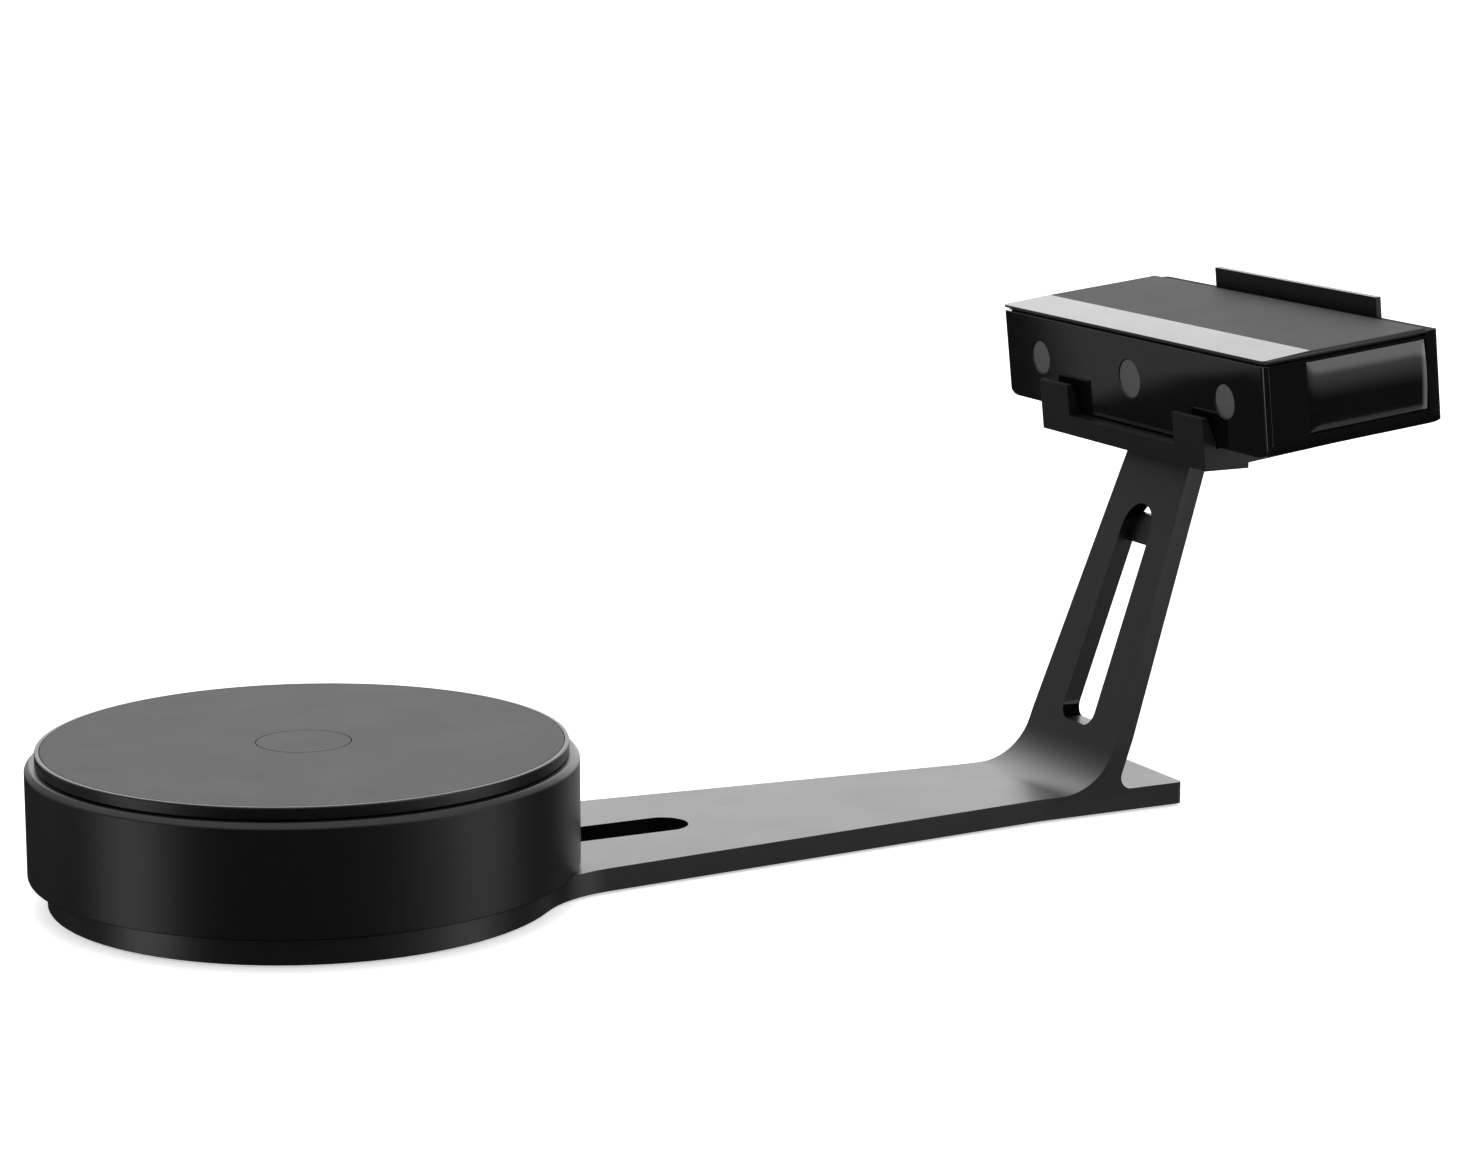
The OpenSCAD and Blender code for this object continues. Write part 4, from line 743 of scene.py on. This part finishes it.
def board_rule(material):
    """Small parts of mixed sizes on a grid, some places left empty, always the same."""
    rule = Rule("board_parts", Width="Float", Depth="Float", Columns="Int", Rows="Int",
                Part="Float", Seed="Int")
    seed, side = rule.given("Seed"), rule.given("Part")
    grid = rule.add("GeometryNodeMeshGrid", Size_X=rule.given("Width"),
                    Size_Y=rule.given("Depth"), Vertices_X=rule.given("Columns"),
                    Vertices_Y=rule.given("Rows"))
    keep = rule.node("FunctionNodeRandomValue", data_type="BOOLEAN", Probability=BOARD_FILL,
                     Seed=seed)
    size = rule.node("FunctionNodeRandomValue", data_type="FLOAT_VECTOR", i0=PART_LEAST,
                     i1=PART_MOST, Seed=rule.maths("ADD", seed, 7))
    part = rule.add("GeometryNodeMeshCube", Size=rule.xyz(side, side, side))
    part = rule.add("GeometryNodeTransform", Geometry=part,
                    Translation=rule.xyz(z=rule.maths("MULTIPLY", side, 0.5)))
    chosen = next(o for o in keep.outputs if o.type == "BOOLEAN" and o.enabled)
    scale = next(o for o in size.outputs if o.type == "VECTOR" and o.enabled)
    rule.ending(rule.add("GeometryNodeInstanceOnPoints", Points=grid, Selection=chosen,
                         Instance=part, Scale=scale), material)
    return rule


# ------------------------------------------------------------------ stage

# The camera's place in metres, and how far it looks to the right and down, in radians
CAMERA_PLACE = (-0.494538, -1.367545, 0.407794)
CAMERA_YAW = 0.459977
CAMERA_PITCH = 0.197074
# Radius of the floor and its distance below the object, in metres
FLOOR_REACH = 60
FLOOR_DROP = 0.0002

# Heading from +X and height of each light in degrees, the degrees where it is full and where it
# is gone, its strength, and the straight edges that cut it: a normal and the ramp across it.
STUDIO = [
    # what all sides get, and the broad light overhead
    (0, 90, 179, 180, 0.025, ()),
    (0, 90, 30, 75, 1.3, ()),
    # behind the object: the sheen on the arm, the mat and the head's top
    (61, 20, 14, 42, 2.08, ()),
    # what the column mirrors, and the grey above the slanting line in the front panel
    (122, 18, 18, 46, 0.28, (((0, 0, 1), -0.2, -0.08),)),
    (121, -12, 9, 22, 0.19, (((-0.047, 0.262, 0.964), -0.003, 0.003),
                             ((-0.87, -0.48, 0), -0.005, 0.012))),
    # the two upright streaks on the housing
    (176, -10, 5, 22, 1.6, ()),
    (-34, -12, 5, 21, 1.1, (((0.574, 0.819, 0), -0.25, -0.12),)),
    # what the side panel mirrors: grey, a bright strip above it and a dim one below
    (-50, 6, 12, 34, 0.42, (((0, 0, 1), -0.17, -0.06),)),
    (-50, 12, 12, 30, 1.0, (((0, 0, 1), -0.075, -0.045),)),
    (-50, -26, 8, 13, 0.3, ()),
    # low, behind the object and to its right
    (25, 8, 8, 28, 0.55, ()),
]


def world_light():
    """A studio without walls: soft fields of light in fixed directions round the object."""
    world = bpy.data.worlds.new("studio")
    world.use_nodes = True
    bpy.context.scene.world = world
    tree = world.node_tree
    back = tree.nodes["Background"]
    place = tree.nodes.new("ShaderNodeTexCoord").outputs["Generated"]

    def side_of(aim, low, high, top=1.0):
        """How far a direction reaches along an aim, ramped from low to high up to top."""
        dot = tree.nodes.new("ShaderNodeVectorMath")
        dot.operation = "DOT_PRODUCT"
        dot.inputs[1].default_value = Vector(aim).normalized()
        tree.links.new(place, dot.inputs[0])
        fall = tree.nodes.new("ShaderNodeMapRange")
        fall.interpolation_type = "SMOOTHSTEP"
        fall.inputs["From Min"].default_value = low
        fall.inputs["From Max"].default_value = high
        fall.inputs["To Max"].default_value = top
        tree.links.new(dot.outputs["Value"], fall.inputs["Value"])
        return fall.outputs["Result"]

    def joined(kind, one, two):
        node = tree.nodes.new("ShaderNodeMath")
        node.operation = kind
        tree.links.new(one, node.inputs[0])
        tree.links.new(two, node.inputs[1])
        return node.outputs[0]

    total = None
    for heading, height, inner, outer, strength, cuts in STUDIO:
        aim = (math.cos(math.radians(heading)) * math.cos(math.radians(height)),
               math.sin(math.radians(heading)) * math.cos(math.radians(height)),
               math.sin(math.radians(height)))
        field = side_of(aim, math.cos(math.radians(outer)), math.cos(math.radians(inner)),
                        strength)
        for cut, low, high in cuts:
            field = joined("MULTIPLY", field, side_of(cut, low, high))
        total = field if total is None else joined("ADD", total, field)
    tree.links.new(total, back.inputs["Strength"])
    back.inputs["Color"].default_value = (1, 1, 1, 1)


class DESKSCAN_OT_stage(Operator):
    """Set up the floor, the light and the camera"""
    bl_idname = "desk_scanner.stage"
    bl_label = "Stage"

    def execute(self, context):
        scene = context.scene
        scene.view_settings.view_transform = "Standard"
        world_light()
        disc = bmesh.new()
        bmesh.ops.create_circle(disc, cap_ends=True, segments=96, radius=FLOOR_REACH)
        floor = piece_from(disc, "floor")
        floor.data.transform(Matrix.Translation((0, 0, -FLOOR_DROP)))
        floor.data.materials.append(finish("floor_white"))
        floor.visible_glossy = False
        lens = bpy.data.cameras.new("camera")
        lens.lens = scene.desk_scanner.stage.lens
        lens.sensor_width = 36
        lens.clip_start, lens.clip_end = 0.01, 200
        camera = bpy.data.objects.new("camera", lens)
        camera.location = CAMERA_PLACE
        camera.rotation_euler = (math.pi / 2 - CAMERA_PITCH, 0, -CAMERA_YAW)
        scene.collection.objects.link(camera)
        scene.camera = camera
        return {"FINISHED"}


# ------------------------------------------------------------------ stand

# Where the cable slots' walls get painted shade, in millimetres along x, y and z: all walls of
# the arm's slot, and the arcs at the corners of the column's
ARM_SLOT = ((76.9, 161.1), (-10.6, 10.6), (1, 9.6))
COLUMN_SLOT = ((340, 385), (-12.4, 12.4), (32.1, 122))
# The soft pads under the plate, in metres: their thickness, the depth of their grooves, the
# radius of their ring and the places of the rear two
PAD_THICK = 0.00148
PAD_GROOVE = 0.00025
PAD_RING = 0.082
REAR_PADS = [(0.36217, y, 0) for y in (-0.023, 0.023)]
# Places of the cradle's screws in the head's own frame
CRADLE_SCREWS = [(u * MM, w * MM, -43.05 * MM) for u in (27.8, 36.74) for w in (-14.52, 14.52)]


def within(spot, box):
    """Whether a point lies inside a box, given as its limits along each axis."""
    return all(low < value < high for value, (low, high) in zip(spot, box))


def pad_shape(radius):
    """A disc with a softened rim and three round grooves in its underside."""
    rings = []
    for at in (0.3, 0.55, 0.8):
        rings += [(radius * (at - 0.05), 0), (radius * at, PAD_GROOVE), (radius * (at + 0.05), 0)]
    return turned_shape(rings + [(radius * 0.94, 0), (radius, PAD_GROOVE), (radius, PAD_THICK)],
                        32)


class DESKSCAN_OT_stand(Operator):
    """Finish the stand with its column, cradle, pads and cable clip"""
    bl_idname = "desk_scanner.stand"
    bl_label = "Stand"

    def execute(self, context):
        shape = context.scene.desk_scanner.shape
        stand = eased("stand_arm", "stand", shape.stand_edge)
        # the cable slots' walls get a near-black material: painted shade for the shadow inside
        # them
        stand.data.materials.append(finish("slot_shade_black"))
        for face in stand.data.polygons:
            spot = face.center / MM
            upright = abs(face.normal.z) < 0.5
            in_arc = 0.25 < abs(face.normal.y) < 0.96
            if (upright and within(spot, ARM_SLOT)) or (in_arc and within(spot, COLUMN_SLOT)):
                face.material_index = 1
        eased("head_cradle", "cradle", shape.stand_edge, material=finish("satin_paint"))
        eased("cable_clip", "clip", shape.shell_edge)
        repeated("centre_pad", "stand_pads", pad_shape(12 * MM), [(0, 0, 0)])
        repeated("ring_pads", "stand_pads", pad_shape(7.5 * MM),
                 ring_of(4, PAD_RING, 0, 45) + REAR_PADS)
        repeated("cradle_screw_set", "cradle_screws", screw_shape(*SCREW, 0.0145),
                 CRADLE_SCREWS, HEAD_TURN, (math.pi, 0, 0))
        dress("cradle_pads")
        return {"FINISHED"}


# ------------------------------------------------------------------ turntable

FOOT_R = 0.007
# What the four-pin sockets share: the pins' pitch and the wall that carries them
PIN_ROW = {"Count": 4, "Step": (0, 0.002, 0), "Plate": (0.0002, 0.0088, 0.0046)}


class DESKSCAN_OT_housing(Operator):
    """Finish the turntable's housing, floor, feet and socket"""
    bl_idname = "desk_scanner.housing"
    bl_label = "Turntable housing"

    def execute(self, context):
        shape = context.scene.desk_scanner.shape
        eased("housing_shell", "housing", shape.shell_edge)
        foot = turned_shape([(FOOT_R * 0.5, 0), (FOOT_R * 0.55, 0.0003), (FOOT_R * 0.6, 0),
                             (FOOT_R * 0.9, 0), (FOOT_R, 0.0004), (FOOT_R, 0.0022)], 32)
        repeated("feet", "turntable_feet", foot, ring_of(4, 0.08, 0.0099))
        repeated("housing_screw_set", "housing_screws", screw_shape(*SCREW, 0.008),
                 ring_of(4, 0.095, 0.0139, 30))
        eased("turntable_socket", "lead_socket", SMALL_EDGE)
        parts = board_rule(finish("chip_black")).grow(
            "table_board_parts", Matrix.Translation((0.0765, 0, 0.0201)),
            Width=0.019, Depth=0.022, Columns=6, Rows=8, Part=0.0014, Seed=3)
        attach(parts, body_of("turntable_board"))
        pins = row_rule(finish("contact_gold")).grow(
            "lead_socket_pins", Matrix(), Start=(0.0999, -0.003, 0.0241),
            Block=(0.0052, 0.0007, 0.0007), Plate_at=(0.09672, 0, 0.0241), **PIN_ROW)
        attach(pins, body_of("turntable_socket"))
        dress("base_pan", "turntable_board")
        return {"FINISHED"}


class DESKSCAN_OT_platter(Operator):
    """Finish the platter with its mat and cap"""
    bl_idname = "desk_scanner.platter"
    bl_label = "Platter"

    def execute(self, context):
        eased("platter", "platter_disc", SMALL_EDGE)
        eased("platter_mat", "mat", 0.00025, material=finish("mat_grey"))
        eased("platter_cap", "cap", 0.00025, material=finish("mat_grey"))
        return {"FINISHED"}


class DESKSCAN_OT_drive(Operator):
    """Finish the spindle, the bearing, the gears and the motor"""
    bl_idname = "desk_scanner.drive"
    bl_label = "Drive"

    def execute(self, context):
        shape = context.scene.desk_scanner.shape
        balls = balls_rule(finish("steel")).grow("balls", Matrix(), Count=shape.balls,
                                                 Ring=0.01175, Ball=0.0024, Lift=0.0366)
        adopt(balls, "bearing_balls")
        repeated("gear_screw_set", "gear_screws", screw_shape(*SCREW, 0.011),
                 ring_of(4, 0.05235, 0.0448, 45))
        repeated("motor_screw_set", "motor_screws", screw_shape(*MOTOR_SCREW, 0.006),
                 [(-0.07 + x, y, 0.0423) for x in (-0.013, 0.013) for y in (-0.013, 0.013)],
                 turn=(math.pi, 0, 0))
        eased("stepper_motor", "motor", SMALL_EDGE, material=finish("motor_stack"))
        eased("motor_bracket", "bracket", SMALL_EDGE)
        dress("spindle", "spindle_retainer", "bearing_inner_ring", "bearing_outer_ring",
              "bearing_cage", "hub_bush", "platter_gear", "motor_shaft", "pinion")
        return {"FINISHED"}


# ------------------------------------------------------------------ head

# All in the head's own frame. A side panel: its extent from front to back and from bottom to
# top, and how far out its inner face and its crown lie
PANEL_U = (20.15 * MM, 77.45 * MM)
PANEL_T = (-33.15 * MM, -4.35 * MM)
PANEL_BACK = 99.9 * MM
PANEL_FACE = 0.101
# The smooth band ends here on the cover, at its back and below
BAND_BACK = 23.05 * MM
BAND_LOW = -1.7 * MM
SHELL_SCREWS = [(u * MM, w * MM, -38.5 * MM) for u in (12, 66.6) for w in (-90, 90)]
BENCH_SCREWS = [(u * MM, side * w * MM, -32 * MM) for u, w in ((24, 48), (44, 25))
                for side in (-1, 1)]
# From the middle of the heat sink's first fin to that of its last, in millimetres
FIN_SPAN = 34.8
FAN_CENTRE = (0.0541, 0.032, -0.0231)
# The main board's face with its small parts: their x runs along w, their y down and their z
# forwards
MAIN_BOARD_FACE = Matrix(((0, 0, -1, 0.0736), (1, 0, 0, 0.038), (0, -1, 0, -0.0205),
                          (0, 0, 0, 1)))


def crowned_panel(side, crown, edge):
    """A side panel whose face swells a little, in the head's own frame."""
    shape = bmesh.new()
    steps = [0, 0.02, 0.06] + [0.06 + 0.88 * k / 20 for k in range(1, 20)] + [0.94, 0.98, 1]
    # the share of the edge's rounding at each step
    rim = [1.0, 0.35] + [0.0] * (len(steps) - 4) + [0.35, 1.0]
    u0, u1 = PANEL_U
    t0, t1 = PANEL_T
    rows = []
    for i, a in enumerate(steps):
        row = []
        for j, b in enumerate(steps):
            out = PANEL_FACE - crown * (2 * b - 1) ** 2 - edge * max(rim[i], rim[j])
            row.append(shape.verts.new((u0 + (u1 - u0) * a, side * out, t0 + (t1 - t0) * b)))
        rows.append(row)
    for low, high in zip(rows, rows[1:]):
        for i in range(len(steps) - 1):
            shape.faces.new((low[i], low[i + 1], high[i + 1], high[i]))
    border = (rows[0] + [row[-1] for row in rows[1:]] + rows[-1][-2::-1]
              + [row[0] for row in rows[-2:0:-1]])
    inner = [shape.verts.new((v.co.x, side * PANEL_BACK, v.co.z)) for v in border]
    ring_faces(shape, border, inner)
    shape.faces.new(inner)
    bmesh.ops.recalc_face_normals(shape, faces=shape.faces)
    return shape


class DESKSCAN_OT_head_shell(Operator):
    """Finish the head's shells and panels"""
    bl_idname = "desk_scanner.head_shell"
    bl_label = "Head shells"

    def execute(self, context):
        shape = context.scene.desk_scanner.shape
        black = finish("head_black")
        eased("head_bottom_shell", "lower_shell", shape.shell_edge, material=black)
        eased("rear_cap", "rear_shell", shape.shell_edge, material=black)
        cover = eased("head_top_cover", "top_cover", shape.shell_edge)
        cover.data.materials.append(finish("band_gloss"))
        turn = HEAD_TURN.inverted()
        for face in cover.data.polygons:
            spot = turn @ face.center
            looks_up = (turn.to_3x3() @ face.normal).z > 0.2
            if spot.x < BAND_BACK and spot.z > BAND_LOW and looks_up:
                face.material_index = 1
        eased("front_panel", "front", shape.panel_edge)
        for side, node, name in ((1, "left_side_panel", "left_panel"),
                                 (-1, "right_side_panel", "right_panel")):
            panel = piece_from(crowned_panel(side, shape.panel_crown, shape.panel_edge), name)
            panel.data.transform(HEAD_TURN)
            smooth(panel.data, 50)
            panel.data.materials.append(finish("gloss_black"))
            adopt(panel, node)
        repeated("shell_screw_set", "shell_screws", screw_shape(*SCREW, 0.0353),
                 SHELL_SCREWS, HEAD_TURN)
        return {"FINISHED"}


class DESKSCAN_OT_optics(Operator):
    """Finish the windows, the cameras and the projector"""
    bl_idname = "desk_scanner.optics"
    bl_label = "Optics"

    def execute(self, context):
        fins = context.scene.desk_scanner.shape.fins
        eased("camera_windows", "windows", 0.0002)
        eased("projector_window", "projector_glass", 0.0002)
        pitch = FIN_SPAN / (fins - 1) * MM
        sink = row_rule(finish("aluminium")).grow(
            "cooling_fins", HEAD_TURN, Count=fins,
            Start=(0.0585, -0.0174, -0.01915), Step=(0, pitch, 0), Block=(0.011, 0.0012, 0.0223),
            Plate=(0.003, 0.036, 0.0223), Plate_at=(0.0515, 0, -0.01915))
        adopt(sink, "heat_sink")
        repeated("bench_screw_set", "bench_screws", screw_shape(*SCREW, 0.0061),
                 BENCH_SCREWS, HEAD_TURN, (math.pi, 0, 0))
        for node, name in (("optical_bench", "bench"), ("left_camera", "camera_left"),
                           ("right_camera", "camera_right"), ("projector_engine", "light_engine")):
            eased(node, name, 0.0004)
        dress("camera_lenses", "projector_lens")
        return {"FINISHED"}


class DESKSCAN_OT_electronics(Operator):
    """Finish the fan, the boards, the sockets and the button"""
    bl_idname = "desk_scanner.electronics"
    bl_label = "Electronics"

    def execute(self, context):
        shape = context.scene.desk_scanner.shape
        at_fan = HEAD_TURN @ Matrix.Translation(FAN_CENTRE) @ Matrix.Rotation(
            -math.pi / 2, 4, "X")
        rotor = fan_rule(finish_of("fan_rotor")).grow(
            "fan_wheel", at_fan, Blades=shape.fan_blades, Hub=0.006, Tip=0.0131, Low=0.0015,
            High=0.0076, Chord=0.0088, Wall=0.0007)
        adopt(rotor, "fan_rotor")
        eased("fan_frame", "fan_housing", SMALL_EDGE)
        eased("board_chips", "chips", 0.00015, material=finish("chip_black"))
        eased("power_button", "button", 0.0005, 3)
        eased("usb_socket", "data_socket", SMALL_EDGE)
        eased("turntable_port", "lead_port", SMALL_EDGE)
        eased("power_socket", "supply_socket", SMALL_EDGE)
        parts = board_rule(finish("chip_black")).grow(
            "main_board_parts", HEAD_TURN @ MAIN_BOARD_FACE, Width=0.05, Depth=0.022,
            Columns=13, Rows=8, Part=0.0016, Seed=5)
        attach(parts, body_of("main_board"))
        tongue = row_rule(finish("contact_gold")).grow(
            "data_contacts", HEAD_TURN, Count=4, Start=(0.0824, -0.0725, -0.0191),
            Step=(0, 0.001, 0), Block=(0.0052, 0.0005, 0.0003), Plate=(0.0058, 0.0056, 0.0026),
            Plate_at=(0.0822, -0.071, -0.0205))
        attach(tongue, body_of("usb_socket"))
        pins = row_rule(finish("contact_gold")).grow(
            "port_pins", HEAD_TURN, Start=(0.0816, 0.068, -0.0205),
            Block=(0.0046, 0.0007, 0.0007), Plate_at=(0.07932, 0.071, -0.0205), **PIN_ROW)
        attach(pins, body_of("turntable_port"))
        dress("main_board", "button_switch", "tripod_insert")
        return {"FINISHED"}


# ------------------------------------------------------------------ add-on


class DESKSCAN_PT_panel(Panel):
    """Lists the scanner's settings and pieces"""
    bl_idname = "DESKSCAN_PT_panel"
    bl_label = "Desktop scanner"
    bl_space_type = "VIEW_3D"
    bl_region_type = "UI"
    bl_category = "Scanner"

    def draw(self, context):
        kit = context.scene.desk_scanner
        for group in (kit.stage, kit.shape, kit.finish):
            box = self.layout.box()
            for key in group.__annotations__:
                box.prop(group, key)
        for step in STEPS:
            self.layout.operator(step.bl_idname)


STEPS = (DESKSCAN_OT_stage, DESKSCAN_OT_stand, DESKSCAN_OT_housing, DESKSCAN_OT_platter,
         DESKSCAN_OT_drive, DESKSCAN_OT_head_shell, DESKSCAN_OT_optics, DESKSCAN_OT_electronics)
CLASSES = (FinishSettings, ShapeSettings, StageSettings, ScannerSettings, *STEPS,
           DESKSCAN_PT_panel)


def register():
    for kind in CLASSES:
        bpy.utils.register_class(kind)
    bpy.types.Scene.desk_scanner = PointerProperty(type=ScannerSettings)


def unregister():
    del bpy.types.Scene.desk_scanner
    for kind in reversed(CLASSES):
        bpy.utils.unregister_class(kind)


def main():
    register()
    for step in STEPS:
        group, name = step.bl_idname.split(".")
        getattr(getattr(bpy.ops, group), name)()


if __name__ == "__main__":
    main()
